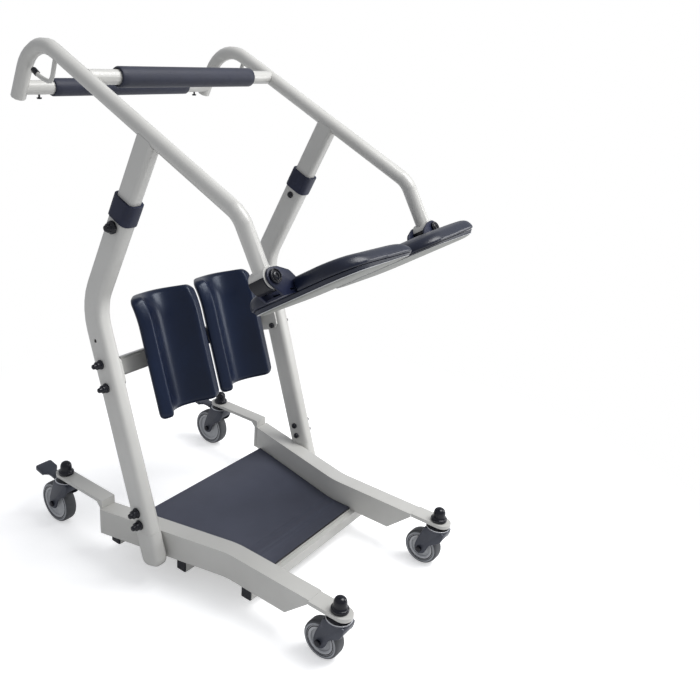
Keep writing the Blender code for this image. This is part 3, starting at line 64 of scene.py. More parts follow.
def newMaterial(name):
    material = bpy.data.materials.new(name)
    material.use_nodes = True
    nodes = material.node_tree.nodes
    return material, nodes, nodes["Principled BSDF"]


def wire(*ends):
    for source, output, target, socket in ends:
        target.id_data.links.new(source.outputs[output], target.inputs[socket])


def setInputs(node, values):
    for label, value in values.items():
        node.inputs[label].default_value = value


def addNode(nodes, kind, operation=None, **values):
    node = nodes.new("ShaderNode" + kind)
    if operation:
        node.operation = operation
    setInputs(node, {label.replace("_", " "): value for label, value in values.items()})
    return node


def scaledBy(nodes, factor):
    node = addNode(nodes, "Math", "MULTIPLY")
    setInputs(node, {1: factor})
    return node


def mixColours(nodes, share, first, second, blend="MIX"):
    # each source is a node and its output, or a plain colour
    mix = addNode(nodes, "Mix")
    mix.data_type = "RGBA"
    mix.blend_type = blend
    for source, socket in ((share, 0), (first, 6), (second, 7)):
        if isinstance(source[0], float):
            setInputs(mix, {socket: (*source, 1)})
        else:
            wire((*source, mix, socket))
    return mix, 2


# Camera and light

photoCamera = {
    "place": (1.1909, 1.0084, 1.0991), "azimuth": 128.376, "elevation": 18.968, "roll": 2.575,
    "lens": 38.99, "shift": (0.1069, -0.0556),
}
studio = {
    "sky": (0.93, 0.95, 1.0), "skyStrength": 0.54, "aim": (0, 0, 0.5),
    "keyPlace": (-0.9, 1.3, 3.1), "keySize": 1.8, "keyPower": 90,
    "sidePlace": (-2.4, 1.9, 1.2), "sideSize": 1.2, "sidePower": 26,
}
floorLook = {
    "size": 14, "lift": 0.42, "fade": (0.45, 1.25),
    "shader": {"Base Color": (0.86, 0.86, 0.86, 1), "Roughness": 0.9, "Specular IOR Level": 0.1},
}


def makeCamera():
    data = bpy.data.cameras.new("photo_camera")
    data.lens = photoCamera["lens"]
    data.shift_x, data.shift_y = photoCamera["shift"]
    camera = newObject("photo_camera", data)
    turn = Matrix.Rotation(math.radians(photoCamera["azimuth"]), 4, "Z")
    turn @= Matrix.Rotation(math.radians(90 - photoCamera["elevation"]), 4, "X")
    turn @= Matrix.Rotation(math.radians(photoCamera["roll"]), 4, "Z")
    camera.matrix_world = Matrix.Translation(photoCamera["place"]) @ turn
    bpy.context.scene.camera = camera


def addLamp(kind):
    lamp = bpy.data.lights.new(kind + "_lamp", "AREA")
    lamp.size, lamp.energy = studio[kind + "Size"], studio[kind + "Power"]
    holder = newObject(kind + "_lamp", lamp)
    holder.location = studio[kind + "Place"]
    aim = Vector(studio["aim"]) - holder.location
    holder.rotation_euler = aim.to_track_quat("-Z", "Y").to_euler()


def makeSky():
    # the object is lit by the pale sky, and the camera sees plain white
    world = bpy.data.worlds.new("pale_studio")
    bpy.context.scene.world = world
    world.use_nodes = True
    nodes = world.node_tree.nodes
    sky = nodes["Background"]
    setInputs(sky, {"Color": (*studio["sky"], 1), "Strength": studio["skyStrength"]})
    white = addNode(nodes, "Background", Color=(1, 1, 1, 1), Strength=1.0)
    path, mix = addNode(nodes, "LightPath"), addNode(nodes, "MixShader")
    wire((path, "Is Camera Ray", mix, "Fac"), (sky, "Background", mix, 1), (white, "Background", mix, 2),
         (mix, "Shader", nodes["World Output"], "Surface"))


def makeFloor():
    # the floor keeps the shadow near the object and fades to white further out
    bpy.ops.mesh.primitive_plane_add(size=floorLook["size"], location=(0, 0, 0))
    floor = bpy.context.object
    floor.name = "studio_floor"
    material, nodes, shader = newMaterial("pale_floor")
    setInputs(shader, floorLook["shader"])
    near, far = floorLook["fade"]
    fade = addNode(nodes, "MapRange", From_Min=near, From_Max=far)
    fade.interpolation_type = "SMOOTHSTEP"
    path, place = addNode(nodes, "LightPath"), addNode(nodes, "TexCoord")
    away, seen = addNode(nodes, "VectorMath", "LENGTH"), addNode(nodes, "Math", "MULTIPLY")
    lift, glow = scaledBy(nodes, floorLook["lift"]), addNode(nodes, "Emission")
    white, both, blank = addNode(nodes, "Emission"), addNode(nodes, "AddShader"), addNode(nodes, "MixShader")
    wire((path, "Is Camera Ray", lift, 0), (lift, "Value", glow, "Strength"),
         (shader, "BSDF", both, 0), (glow, "Emission", both, 1),
         (place, "Object", away, 0), (away, "Value", fade, "Value"),
         (fade, "Result", seen, 0), (path, "Is Camera Ray", seen, 1),
         (seen, "Value", blank, "Fac"), (both, "Shader", blank, 1), (white, "Emission", blank, 2),
         (blank, "Shader", nodes["Material Output"], "Surface"))
    floor.data.materials.append(material)


bpy.context.scene.view_settings.view_transform = "Standard"
makeCamera()
makeSky()
addLamp("key")
addLamp("side")
makeFloor()
print("camera and studio made")

# Shared surface effects

number, colour, vector = "NodeSocketFloat", "NodeSocketColor", "NodeSocketVector"


def newGroup(name, inputs, outputs):
    group = bpy.data.node_groups.new(name, "ShaderNodeTree")
    for way, sockets in (("INPUT", inputs), ("OUTPUT", outputs)):
        for label, kind in sockets.items():
            group.interface.new_socket(label, in_out=way, socket_type=kind)
    return group, group.nodes, group.nodes.new("NodeGroupInput"), group.nodes.new("NodeGroupOutput")


def makeSoftEdges():
    # rounds sharp edges in the shading, adds a fine grain and gives a mask of the edges, used to paint highlight
    # on them
    group, nodes, given, made = newGroup(
        "softEdges", {"Radius": number, "Grain": number, "Depth": number}, {"Normal": vector, "Edge": number})
    place, surface = addNode(nodes, "TexCoord"), addNode(nodes, "NewGeometry")
    bevel = addNode(nodes, "Bevel")
    bevel.samples = 6
    grain = addNode(nodes, "TexNoise", Detail=3.0, Roughness=0.6)
    bump = addNode(nodes, "Bump", Strength=1.0)
    alike = addNode(nodes, "VectorMath", "DOT_PRODUCT")
    mask = addNode(nodes, "MapRange", From_Min=0.98, From_Max=0.80)
    wire((place, "Object", grain, "Vector"), (given, "Grain", grain, "Scale"),
         (given, "Radius", bevel, "Radius"), (given, "Depth", bump, "Distance"),
         (grain, "Fac", bump, "Height"), (bevel, "Normal", bump, "Normal"),
         (bevel, "Normal", alike, 0), (surface, "Normal", alike, 1), (alike, "Value", mask, "Value"),
         (bump, "Normal", made, "Normal"), (mask, "Result", made, "Edge"))
    return group


def makeColourDrift():
    # broad soft changes between two near colours
    group, nodes, given, made = newGroup(
        "colourDrift", {"Colour": colour, "Deeper": colour, "Scale": number}, {"Colour": colour})
    place = addNode(nodes, "TexCoord")
    cloud = addNode(nodes, "TexNoise", Detail=4.0, Roughness=0.55)
    ramp = addNode(nodes, "MapRange", From_Min=0.35, From_Max=0.65)
    wire((place, "Object", cloud, "Vector"), (given, "Scale", cloud, "Scale"),
         (cloud, "Fac", ramp, "Value"))
    mixed = mixColours(nodes, (ramp, "Result"), (given, "Colour"), (given, "Deeper"))
    wire((*mixed, made, "Colour"))
    return group


def makeHandling():
    # small scuffs: a mask, and the roughness that goes with it
    group, nodes, given, made = newGroup(
        "handling", {"Scale": number, "Amount": number, "Roughness": number, "Rougher": number},
        {"Scuff": number, "Roughness": number})
    place = addNode(nodes, "TexCoord")
    marks = addNode(nodes, "TexNoise", Detail=8.0, Roughness=0.7, Distortion=0.6)
    cut = addNode(nodes, "MapRange", From_Min=0.56, From_Max=0.70)
    share, rough = addNode(nodes, "Math", "MULTIPLY"), addNode(nodes, "MapRange")
    wire((place, "Object", marks, "Vector"), (given, "Scale", marks, "Scale"),
         (marks, "Fac", cut, "Value"), (cut, "Result", share, 0), (given, "Amount", share, 1),
         (share, "Value", rough, "Value"),
         (given, "Roughness", rough, "To Min"), (given, "Rougher", rough, "To Max"),
         (share, "Value", made, "Scuff"), (rough, "Result", made, "Roughness"))
    return group


def makeSkinGrain():
    # the pebbled grain of a moulded skin, with a mask of its creases that gets painted shade
    group, nodes, given, made = newGroup(
        "skinGrain", {"Scale": number, "Depth": number}, {"Normal": vector, "CreaseShade": number})
    place = addNode(nodes, "TexCoord")
    cells = addNode(nodes, "TexVoronoi", Randomness=0.9)
    cells.feature = "SMOOTH_F1"
    waves = addNode(nodes, "TexNoise", Scale=90.0, Detail=2.0)
    height, bump = addNode(nodes, "Math", "ADD"), addNode(nodes, "Bump", Strength=1.0)
    wire((place, "Object", cells, "Vector"), (place, "Object", waves, "Vector"),
         (given, "Scale", cells, "Scale"),
         (cells, "Distance", height, 0), (waves, "Fac", height, 1), (height, "Value", bump, "Height"),
         (given, "Depth", bump, "Distance"), (bump, "Normal", made, "Normal"),
         (cells, "Distance", made, "CreaseShade"))
    return group


softEdges, colourDrift = makeSoftEdges(), makeColourDrift()
handling, skinGrain = makeHandling(), makeSkinGrain()


def placeGroup(nodes, group, **values):
    node = addNode(nodes, "Group")
    node.node_tree = group
    setInputs(node, values)
    return node


def makeFinish(name, look):
    # a look with crease shade is a moulded foam skin with painted shade in its grain's creases, any other a hard
    # surface with rounded edges tinted with painted light and shade, and scuffs
    material, nodes, shader = newMaterial(name)
    first, deeper = look["colours"]
    scuffScale, scuffShare = look["scuffs"]
    smoother, rougher = look["roughness"]
    grain, depth = look["grain"]
    drift = placeGroup(nodes, colourDrift, Colour=(*first, 1), Deeper=(*deeper, 1), Scale=look["drift"])
    wear = placeGroup(nodes, handling, Scale=scuffScale, Amount=scuffShare,
                      Roughness=smoother, Rougher=rougher)
    if "creaseShade" in look:
        relief = placeGroup(nodes, skinGrain, Scale=grain, Depth=depth)
        # painted shade: the skin colour is multiplied darker in the creases of its grain
        base = mixColours(nodes, (relief, "CreaseShade"), (drift, "Colour"), look["creaseShade"], "MULTIPLY")
    else:
        edge, edgeShare = look["edges"]
        relief = placeGroup(nodes, softEdges, Radius=edge, Grain=grain, Depth=depth)
        share = scaledBy(nodes, edgeShare)
        wire((relief, "Edge", share, 0))
        # painted highlight: edges are tinted towards the look's edge colour, lighter on most finishes and darker,
        # as painted shade, on the mat and tyre side
        rim = mixColours(nodes, (share, "Value"), (drift, "Colour"), look["paintedEdgeTone"])
        base = mixColours(nodes, (wear, "Scuff"), rim, look["scuffColour"])
    wire((wear, "Roughness", shader, "Roughness"), (*base, shader, "Base Color"),
         (relief, "Normal", shader, "Normal"))
    setInputs(shader, look.get("shader", {}))
    return material


looks = {   # scuffs are by scale and share, the grain by scale and depth, edges by radius and share, the share tinting them with painted highlight (painted shade on the mat and tyre side)
    "framePaint": {
        "colours": ((0.54, 0.535, 0.510), (0.49, 0.485, 0.460)), "drift": 5.0,
        "roughness": (0.34, 0.55), "scuffs": (30.0, 0.10), "grain": (650.0, 0.000006),
        "edges": (0.0006, 0.5), "paintedEdgeTone": (0.78, 0.78, 0.76), "scuffColour": (0.50, 0.49, 0.46),
        "shader": {"Coat Weight": 0.20, "Coat Roughness": 0.30},
    },
    "navyPlastic": {
        "colours": ((0.010, 0.014, 0.038), (0.008, 0.011, 0.030)), "drift": 30.0,
        "roughness": (0.36, 0.60), "scuffs": (80.0, 0.30), "grain": (1500.0, 0.00003),
        "edges": (0.0010, 0.5), "paintedEdgeTone": (0.06, 0.065, 0.11), "scuffColour": (0.04, 0.045, 0.075),
        "shader": {"Specular IOR Level": 0.3},
    },
    "blackPlastic": {
        "colours": ((0.005, 0.006, 0.011), (0.004, 0.004, 0.008)), "drift": 60.0,
        "roughness": (0.22, 0.5), "scuffs": (120.0, 0.25), "grain": (1800.0, 0.00002),
        "edges": (0.0008, 0.5), "paintedEdgeTone": (0.05, 0.05, 0.07), "scuffColour": (0.03, 0.03, 0.04),
        "shader": {"Specular IOR Level": 0.35},
    },
    "casterPaint": {
        "colours": ((0.044, 0.049, 0.066), (0.034, 0.038, 0.052)), "drift": 25.0,
        "roughness": (0.34, 0.6), "scuffs": (70.0, 0.4), "grain": (1200.0, 0.00003),
        "edges": (0.0010, 0.7), "paintedEdgeTone": (0.14, 0.15, 0.20), "scuffColour": (0.12, 0.12, 0.15),
        "shader": {"Metallic": 0.25},
    },
    "hubNylon": {
        "colours": ((0.46, 0.47, 0.48), (0.38, 0.39, 0.41)), "drift": 30.0,
        "roughness": (0.42, 0.65), "scuffs": (90.0, 0.4), "grain": (1500.0, 0.00002),
        "edges": (0.0008, 0.5), "paintedEdgeTone": (0.50, 0.50, 0.52), "scuffColour": (0.20, 0.20, 0.21),
    },
    "tyreRubber": {
        "colours": ((0.068, 0.071, 0.078), (0.050, 0.053, 0.058)), "drift": 30.0,
        "roughness": (0.55, 0.8), "scuffs": (110.0, 0.5), "grain": (1300.0, 0.00005),
        "edges": (0.0008, 0.4), "paintedEdgeTone": (0.12, 0.12, 0.13), "scuffColour": (0.14, 0.14, 0.145),
    },
    "tyreSide": {
        "colours": ((0.30, 0.31, 0.33), (0.26, 0.27, 0.29)), "drift": 30.0,
        "roughness": (0.5, 0.75), "scuffs": (110.0, 0.5), "grain": (1300.0, 0.00004),
        "edges": (0.0008, 0.4), "paintedEdgeTone": (0.2, 0.2, 0.21), "scuffColour": (0.17, 0.17, 0.18),
    },
    "baseShell": {
        "colours": ((0.215, 0.220, 0.200), (0.185, 0.190, 0.172)), "drift": 10.0,
        "roughness": (0.52, 0.7), "scuffs": (40.0, 0.3), "grain": (900.0, 0.00008),
        "edges": (0.0012, 0.5), "paintedEdgeTone": (0.30, 0.30, 0.28), "scuffColour": (0.27, 0.27, 0.25),
    },
    "matRubber": {
        "colours": ((0.043, 0.048, 0.072), (0.036, 0.040, 0.061)), "drift": 7.0,
        "roughness": (0.74, 0.92), "scuffs": (26.0, 0.35), "grain": (520.0, 0.00025),
        "edges": (0.0010, 0.5), "paintedEdgeTone": (0.02, 0.02, 0.03), "scuffColour": (0.065, 0.07, 0.095),
    },
    "matRim": {
        "colours": ((0.010, 0.011, 0.016), (0.008, 0.008, 0.012)), "drift": 20.0,
        "roughness": (0.6, 0.8), "scuffs": (60.0, 0.3), "grain": (900.0, 0.00005),
        "edges": (0.0008, 0.4), "paintedEdgeTone": (0.03, 0.03, 0.04), "scuffColour": (0.04, 0.04, 0.05),
    },
    "zinc": {
        "colours": ((0.58, 0.59, 0.62), (0.48, 0.49, 0.52)), "drift": 60.0,
        "roughness": (0.28, 0.5), "scuffs": (140.0, 0.4), "grain": (1600.0, 0.00002),
        "edges": (0.0005, 0.4), "paintedEdgeTone": (0.75, 0.75, 0.77), "scuffColour": (0.35, 0.35, 0.36),
        "shader": {"Metallic": 0.9},
    },
    "padSkin": {
        "colours": ((0.0035, 0.0095, 0.032), (0.003, 0.0065, 0.022)), "drift": 9.0,
        "roughness": (0.34, 0.50), "scuffs": (34.0, 0.35), "grain": (780.0, 0.00010),
        "creaseShade": (0.62, 0.62, 0.66),
        "shader": {"Coat Weight": 0.12, "Coat Roughness": 0.20, "Specular IOR Level": 0.30,
                   "Specular Tint": (0.75, 0.85, 1, 1)},
    },
    "seatSkin": {
        "colours": ((0.006, 0.011, 0.030), (0.005, 0.008, 0.022)), "drift": 8.0,
        "roughness": (0.36, 0.54), "scuffs": (30.0, 0.40), "grain": (720.0, 0.00011),
        "creaseShade": (0.62, 0.62, 0.66),
        "shader": {"Coat Weight": 0.12, "Coat Roughness": 0.24, "Specular IOR Level": 0.34},
    },
    "gripFoam": {
        "colours": ((0.007, 0.011, 0.034), (0.006, 0.009, 0.027)), "drift": 14.0,
        "roughness": (0.58, 0.80), "scuffs": (50.0, 0.5), "grain": (1100.0, 0.00012),
        "creaseShade": (0.55, 0.55, 0.60),
        "shader": {"Sheen Weight": 0.14, "Sheen Roughness": 0.4},
    },
}
slotLook = {
    "frame_paint": "framePaint", "collar_plastic": "navyPlastic", "black_plastic": "blackPlastic",
    "pad_skin": "padSkin", "grip_foam": "gripFoam", "seat_skin": "seatSkin", "seat_base": "baseShell",
    "mat_rubber": "matRubber", "caster_housing": "casterPaint", "wheel_hub": "hubNylon",
    "tyre_rubber": "tyreRubber",
}
finishes = {name: makeFinish(name, look) for name, look in looks.items()}
weldGap, smoothAngle = 0.00001, 38


def smoothNode(node):
    # welds a CAD node's faces and shades its round faces smooth, with its own mesh left as it is
    node.data.shade_smooth()
    node.modifiers.new("weld", "WELD").merge_threshold = weldGap
    split = node.modifiers.new("split", "EDGE_SPLIT")
    split.split_angle = math.radians(smoothAngle)
    split.use_edge_sharp = False
    node.modifiers.new("weighted", "WEIGHTED_NORMAL").keep_sharp = True


for nodeName, node in frame["nodes"].items():
    node.data.materials.clear()
    node.data.materials.append(finishes[slotLook[slotOf[nodeName]]])
    smoothNode(node)
print("finishes made", len(finishes))

# Tools for new pieces

roundShare = 0.3    # how far into a rounded edge its middle ring lies
squareOn = 0.9      # a normal above this along an axis is a face square to it


def activate(piece):
    bpy.ops.object.select_all(action="DESELECT")
    piece.select_set(True)
    bpy.context.view_layer.objects.active = piece


def nameNew(name):
    piece = bpy.context.object
    piece.name = piece.data.name = name
    return piece


def inEdit(piece, *steps):
    activate(piece)
    bpy.ops.object.mode_set(mode="EDIT")
    bpy.ops.mesh.select_all(action="SELECT")
    for step in steps:
        step()
    bpy.ops.object.mode_set(mode="OBJECT")


def tidyMesh():
    bpy.ops.mesh.remove_doubles(threshold=weldGap)
    bpy.ops.mesh.normals_make_consistent(inside=False)


def extrudedBy(height):
    return lambda: bpy.ops.mesh.extrude_region_move(TRANSFORM_OT_translate={"value": (0, 0, height)})


def settle(piece, place, axis=upAxis):
    # puts the piece's +Z on axis at place, and its place into its mesh
    activate(piece)
    piece.rotation_mode = "QUATERNION"
    turn = upAxis.rotation_difference(Vector(axis))
    piece.rotation_quaternion = turn @ piece.rotation_quaternion
    piece.location = Vector(place) + turn @ piece.location
    bpy.ops.object.transform_apply(location=True, rotation=True, scale=True)
    return piece


def turnOnto(piece, place, *axes):
    # turns a piece's own three axes onto these and moves it to place, in its mesh
    piece.data.transform(Matrix.Translation(place) @ Matrix(axes).transposed().to_4x4())


def applyModifiers(piece):
    activate(piece)
    for modifier in list(piece.modifiers):
        bpy.ops.object.modifier_apply(modifier=modifier.name)


def softenEdges(piece, width, segments=2, angle=30):
    bevel = piece.modifiers.new("soft", "BEVEL")
    bevel.width = width
    bevel.segments = segments
    bevel.limit_method = "ANGLE"
    bevel.angle_limit = math.radians(angle)
    applyModifiers(piece)
    return piece


def cutAway(piece, *tools, operation="DIFFERENCE"):
    for tool in tools:
        cut = piece.modifiers.new("cut", "BOOLEAN")
        cut.operation = operation
        cut.object = tool
        cut.solver = "EXACT"
        applyModifiers(piece)
        bpy.data.objects.remove(tool)


def joinPieces(*parts):
    activate(parts[0])
    for part in parts[1:]:
        part.select_set(True)
    bpy.ops.object.join()
    return parts[0]


def turned(name, rings, steps=48, hollow=False):
    # a round piece along +Z: its last ring is extruded and scaled from one (radius, height) to the next
    radius, height = rings[0]
    bpy.ops.mesh.primitive_circle_add(vertices=steps, radius=radius, location=(0, 0, height),
                                      fill_type="NOTHING" if hollow else "NGON")
    piece = nameNew(name)
    bpy.ops.object.transform_apply(location=True)
    bpy.ops.object.mode_set(mode="EDIT")
    bpy.ops.mesh.select_all(action="SELECT")
    extrude = bpy.ops.mesh.extrude_edges_move if hollow else bpy.ops.mesh.extrude_region_move
    for (last, low), (radius, height) in zip(rings, rings[1:]):
        extrude(TRANSFORM_OT_translate={"value": (0, 0, height - low)})
        bpy.ops.transform.resize(value=(radius / last, radius / last, 1), center_override=(0, 0, height))
    if hollow:
        bpy.ops.object.mode_set(mode="OBJECT")
        count = len(piece.data.vertices)
        for vertex in piece.data.vertices:
            vertex.select = vertex.index < steps or vertex.index >= count - steps
        bpy.ops.object.mode_set(mode="EDIT")
        bpy.ops.mesh.select_mode(type="VERT")
        bpy.ops.mesh.bridge_edge_loops()
    bpy.ops.mesh.select_all(action="SELECT")
    tidyMesh()
    bpy.ops.object.mode_set(mode="OBJECT")
    return piece


def rod(name, radius, low, high, steps):
    return turned(name, ((radius, low), (radius, high)), steps)


def block(name, size, place=(0, 0, 0)):
    bpy.ops.mesh.primitive_cube_add(size=1, location=place)
    piece = nameNew(name)
    piece.scale = size
    bpy.ops.object.transform_apply(location=True, scale=True)
    return piece


def lofted(name, rings):
    # a filled circle is extruded once for each further ring, and the points then go to their places
    count = len(rings[0])
    bpy.ops.mesh.primitive_circle_add(vertices=count, radius=1, fill_type="NGON")
    piece = nameNew(name)
    inEdit(piece, *[extrudedBy(1)] * (len(rings) - 1))
    for vertex in piece.data.vertices:
        turn = math.atan2(-vertex.co.x, vertex.co.y) / math.tau
        vertex.co = rings[round(vertex.co.z)][round(turn * count) % count]
    inEdit(piece, tidyMesh)
    return piece


def raised(rings, by):
    return [(radius, height + by) for radius, height in rings]


def rounded(before, corner, after, shares):
    # points of the curve that takes the corner off between two points on its sides
    return [before.lerp(corner, share).lerp(corner.lerp(after, share), share) for share in shares]


def roundedOutline(halfX, halfY, corner, steps):
    points = []
    for quarter, (midX, midY) in enumerate(((1, 1), (-1, 1), (-1, -1), (1, -1))):
        for step in range(steps + 1):
            turn = math.pi / 2 * (quarter + step / steps)
            points.append((midX * (halfX - corner) + corner * math.cos(turn),
                           midY * (halfY - corner) + corner * math.sin(turn)))
    return points


def smoothOutline(points, steps):
    # a closed outline rounded through the middles of its sides
    points = [Vector(point) for point in points]
    outline = []
    for before, corner, after in zip(points[-1:] + points, points, points[1:] + points[:1]):
        shares = [step / steps for step in range(steps)]
        outline += rounded((before + corner) / 2, corner, (corner + after) / 2, shares)
    return outline


def drawnIn(outline, inset):
    # the outline moved inwards by inset, each point along its own normal
    points = [Vector(point).to_2d() for point in outline]
    before, after = points[-1:] + points, points[1:] + points[:1]
    inwards = math.copysign(1, sum(last.cross(point) for last, point in zip(before, points)))
    moved = []
    for last, point, following in zip(before, points, after):
        along = following - last
        moved.append(point + Vector((-along.y, along.x)).normalized() * inwards * inset)
    return moved


def plate(name, outline, half, place, across, along, soft):
    # an outline drawn on the plane of two axes, with rounded edges, half as thick to each side
    normal = across.cross(along)
    rings = []
    mid = soft * roundShare
    for offset, inset in ((-half, soft), (-half + mid, mid), (-half + soft, 0),
                          (half - soft, 0), (half - mid, mid), (half, soft)):
        rings.append([place + across * x + along * y + normal * offset for x, y in drawnIn(outline, inset)])
    return lofted(name, rings)


def paintFaces(piece, finish, test):
    # gives the faces that pass the test another finish
    material = finishes[finish]
    if material.name not in piece.data.materials:
        piece.data.materials.append(material)
    slotIndex = piece.data.materials.find(material.name)
    for face in piece.data.polygons:
        if test(face):
            face.material_index = slotIndex


def finishPiece(piece, body, slot, node=None, look=None, angle=smoothAngle, fill=None):
    # look names a finish other than the slot's own; fill is not used
    activate(piece)
    bpy.ops.object.shade_smooth_by_angle(angle=math.radians(angle))
    piece.data.materials.clear()
    piece.data.materials.append(finishes[look or slotLook[slot]])
    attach(piece, body)
    if node:
        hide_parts(node)


def bothSides(piece, body, slot, node=None, **more):
    # finishes a left piece and its mirrored twin
    twin = newObject(piece.name.replace("left_", "right_", 1), piece.data.copy())
    twin.data.name = twin.name
    twin.data.transform(mirrorX)
    twin.data.flip_normals()
    for made, side in ((piece, "left"), (twin, "right")):
        finishPiece(made, body.format(side=side), slot, side + "_" + node if node else None, **more)
    return piece, twin


def reachOf(nodeName, axis):
    # how far a CAD node reaches along an axis
    along = [vertex.co.dot(axis) for vertex in frame["nodes"][nodeName].data.vertices]
    return min(along), max(along)


# Bag hooks with dark tip sleeves, and the front hand bar's clamp screws

hookShape = {
    "x": 0.271, "path": ((-0.2830, 1.0700), (-0.3003, 1.0204), (-0.3352, 1.0291), (-0.3500, 1.0380)),
    "radius": 0.0046, "round": 0.35, "steps": 8, "sleeveFrom": 0.35,
}
sleeveRings = ((0.0052, 0.0), (0.0060, 0.0006), (0.0062, 0.0140), (0.0052, 0.0166), (0.0026, 0.0176))
barScrew = {
    "share": 0.42, "sunk": 0.0004,
    "rings": ((0.0022, -0.002), (0.0022, 0.0060), (0.0052, 0.0062), (0.0056, 0.0080), (0.0044, 0.0096)),
}


def makeBagHooks():
    corners = [Vector((hookShape["x"], y, z)) for y, z in hookShape["path"]]
    points, steps = [corners[0]], hookShape["steps"]
    shares = [step / steps for step in range(steps + 1)]
    for before, corner, after in zip(corners, corners[1:], corners[2:]):
        start, end = corner.lerp(before, hookShape["round"]), corner.lerp(after, hookShape["round"])
        points += rounded(start, corner, end, shares)
    points.append(corners[-1])
    line = bpy.data.curves.new("left_bag_hook_rod", "CURVE")
    line.dimensions = "3D"
    line.bevel_depth = hookShape["radius"]
    line.bevel_resolution = 5
    line.use_fill_caps = True
    spline = line.splines.new("POLY")
    spline.points.add(len(points) - 1)
    for point, place in zip(spline.points, points):
        point.co = (*place, 1)
    activate(newObject("left_bag_hook_rod", line))
    bpy.ops.object.convert(target="MESH")
    hook = nameNew("left_bag_hook_rod")
    inEdit(hook, tidyMesh)
    sleeve = turned("left_bag_hook_sleeve", sleeveRings, 24)
    settle(sleeve, corners[-1].lerp(corners[-2], hookShape["sleeveFrom"]), corners[-1] - corners[-2])
    bothSides(hook, "upper_frame", "frame_paint", "bag_hook")
    bothSides(sleeve, "upper_frame", "black_plastic")


def makeBarScrews():
    low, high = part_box("front_hand_bar")
    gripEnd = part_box("front_grip")[1].x
    x = gripEnd + (hookShape["x"] - gripEnd) * barScrew["share"]
    screw = turned("left_hand_bar_screw", barScrew["rings"], 20)
    settle(screw, (x, (low.y + high.y) / 2, low.z + barScrew["sunk"]), -upAxis)
    bothSides(screw, "upper_frame", "black_plastic")


makeBagHooks()
makeBarScrews()
print("bag hooks and bar screws made")

# Foam grips on the two hand bars

gripShape = {
    "lip": 0.0035, "wall": 0.0004, "mouth": 0.0012, "leastBore": 0.015, "steps": 64, "fill": 0.8,
    "shares": (-0.9, -0.45, 0.0, 0.45, 0.9),
}


def makeGrip(end):
    low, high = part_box(end + "_grip")
    barLow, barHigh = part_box(end + "_hand_bar")
    radius, half, lip = (high.z - low.z) / 2, (high.x - low.x) / 2, gripShape["lip"]
    bore = max((barHigh.z - barLow.z) / 2, gripShape["leastBore"]) + gripShape["wall"]
    rings = [(bore, -half + lip), (bore + gripShape["mouth"], -half), (radius - lip, -half),
             (radius - lip * roundShare, -half + lip * roundShare), (radius, -half + lip)]
    rings += [(radius, half * share) for share in gripShape["shares"]]
    rings += [(ring, -height) for ring, height in rings[4::-1]]
    grip = turned(end + "_grip_sleeve", rings, gripShape["steps"], hollow=True)
    settle(grip, (low + high) / 2, acrossAxis)
    finishPiece(grip, "upper_frame", "grip_foam", end + "_grip", fill=gripShape["fill"])


for end in ("front", "rear"):
    makeGrip(end)
print("grips made")

# Knee pads: moulded foam with a skin, dished between two crests

lowerUp = jointAxis["knee_support_slide"]
lowerFront = lowerUp.cross(acrossAxis).normalized()
lowerFront = lowerFront if lowerFront.y < 0 else -lowerFront
padShape = {
    "barCentre": (0, -0.1920, 0.4361), "behindBar": 0.0133, "centreX": 0.0955, "rise": 0.002,
    "width": 0.182, "height": 0.268, "thickness": 0.022, "hollow": 0.048, "crest": 0.70, "crestSoft": 0.010,
    "flank": 0.009, "backFlat": 0.42, "backEdge": 0.050, "backSoft": 0.12, "lip": 0.018, "lipSide": 0.012,
    "lipFrom": 0.5, "arch": 0.006, "corner": 0.016, "edge": 0.0110, "edgeShare": 0.49,
    "columns": 64, "rows": 80, "crowd": 0.7, "angle": 60, "fill": 0.95,
}


def softMin(first, second, width):
    near = max(width - abs(first - second), 0) / width
    return min(first, second) - near * near * width / 4


def padPlace(u, v, isFront):
    # u and v run from -1 to 1 over the pad's width and height
    halfWidth, halfHeight, corner = padShape["width"] / 2, padShape["height"] / 2, padShape["corner"]
    x, z = halfWidth * abs(u), halfHeight * abs(v)
    a, b = (x - halfWidth + corner) / corner, (z - halfHeight + corner) / corner
    if a > 0 and b > 0:
        a, b = a * math.sqrt(1 - b * b / 2), b * math.sqrt(1 - a * a / 2)
        x, z = halfWidth - corner + corner * a, halfHeight - corner + corner * b
        inside = corner * (1 - math.hypot(a, b))
    else:
        inside = min(halfWidth - x, halfHeight - z)
    away = x / halfWidth
    bowl = padShape["thickness"] + padShape["hollow"] * (away / padShape["crest"]) ** 2
    side = padShape["thickness"] + padShape["hollow"]
    side -= padShape["flank"] * (away - padShape["crest"]) / (1 - padShape["crest"])
    front = softMin(bowl, side, padShape["crestSoft"])
    bend = (away - padShape["backFlat"]) / (1 - padShape["backFlat"])
    back = padShape["backEdge"] * -softMin(0.0, -bend, padShape["backSoft"])
    edge = min(padShape["edge"], (front - back) * padShape["edgeShare"])
    drop = edge - math.sqrt(max(edge ** 2 - max(edge - inside, 0) ** 2, 0))
    deep = front - drop if isFront else back + drop
    lip = padShape["lipSide"] + (padShape["lip"] - padShape["lipSide"]) * (1 - away * away)
    deep -= lip * max((v - padShape["lipFrom"]) / (1 - padShape["lipFrom"]), 0) ** 2
    z = math.copysign(z, v) + padShape["arch"] * (1 - away * away) * max(v, 0)
    return math.copysign(x, u), deep, z


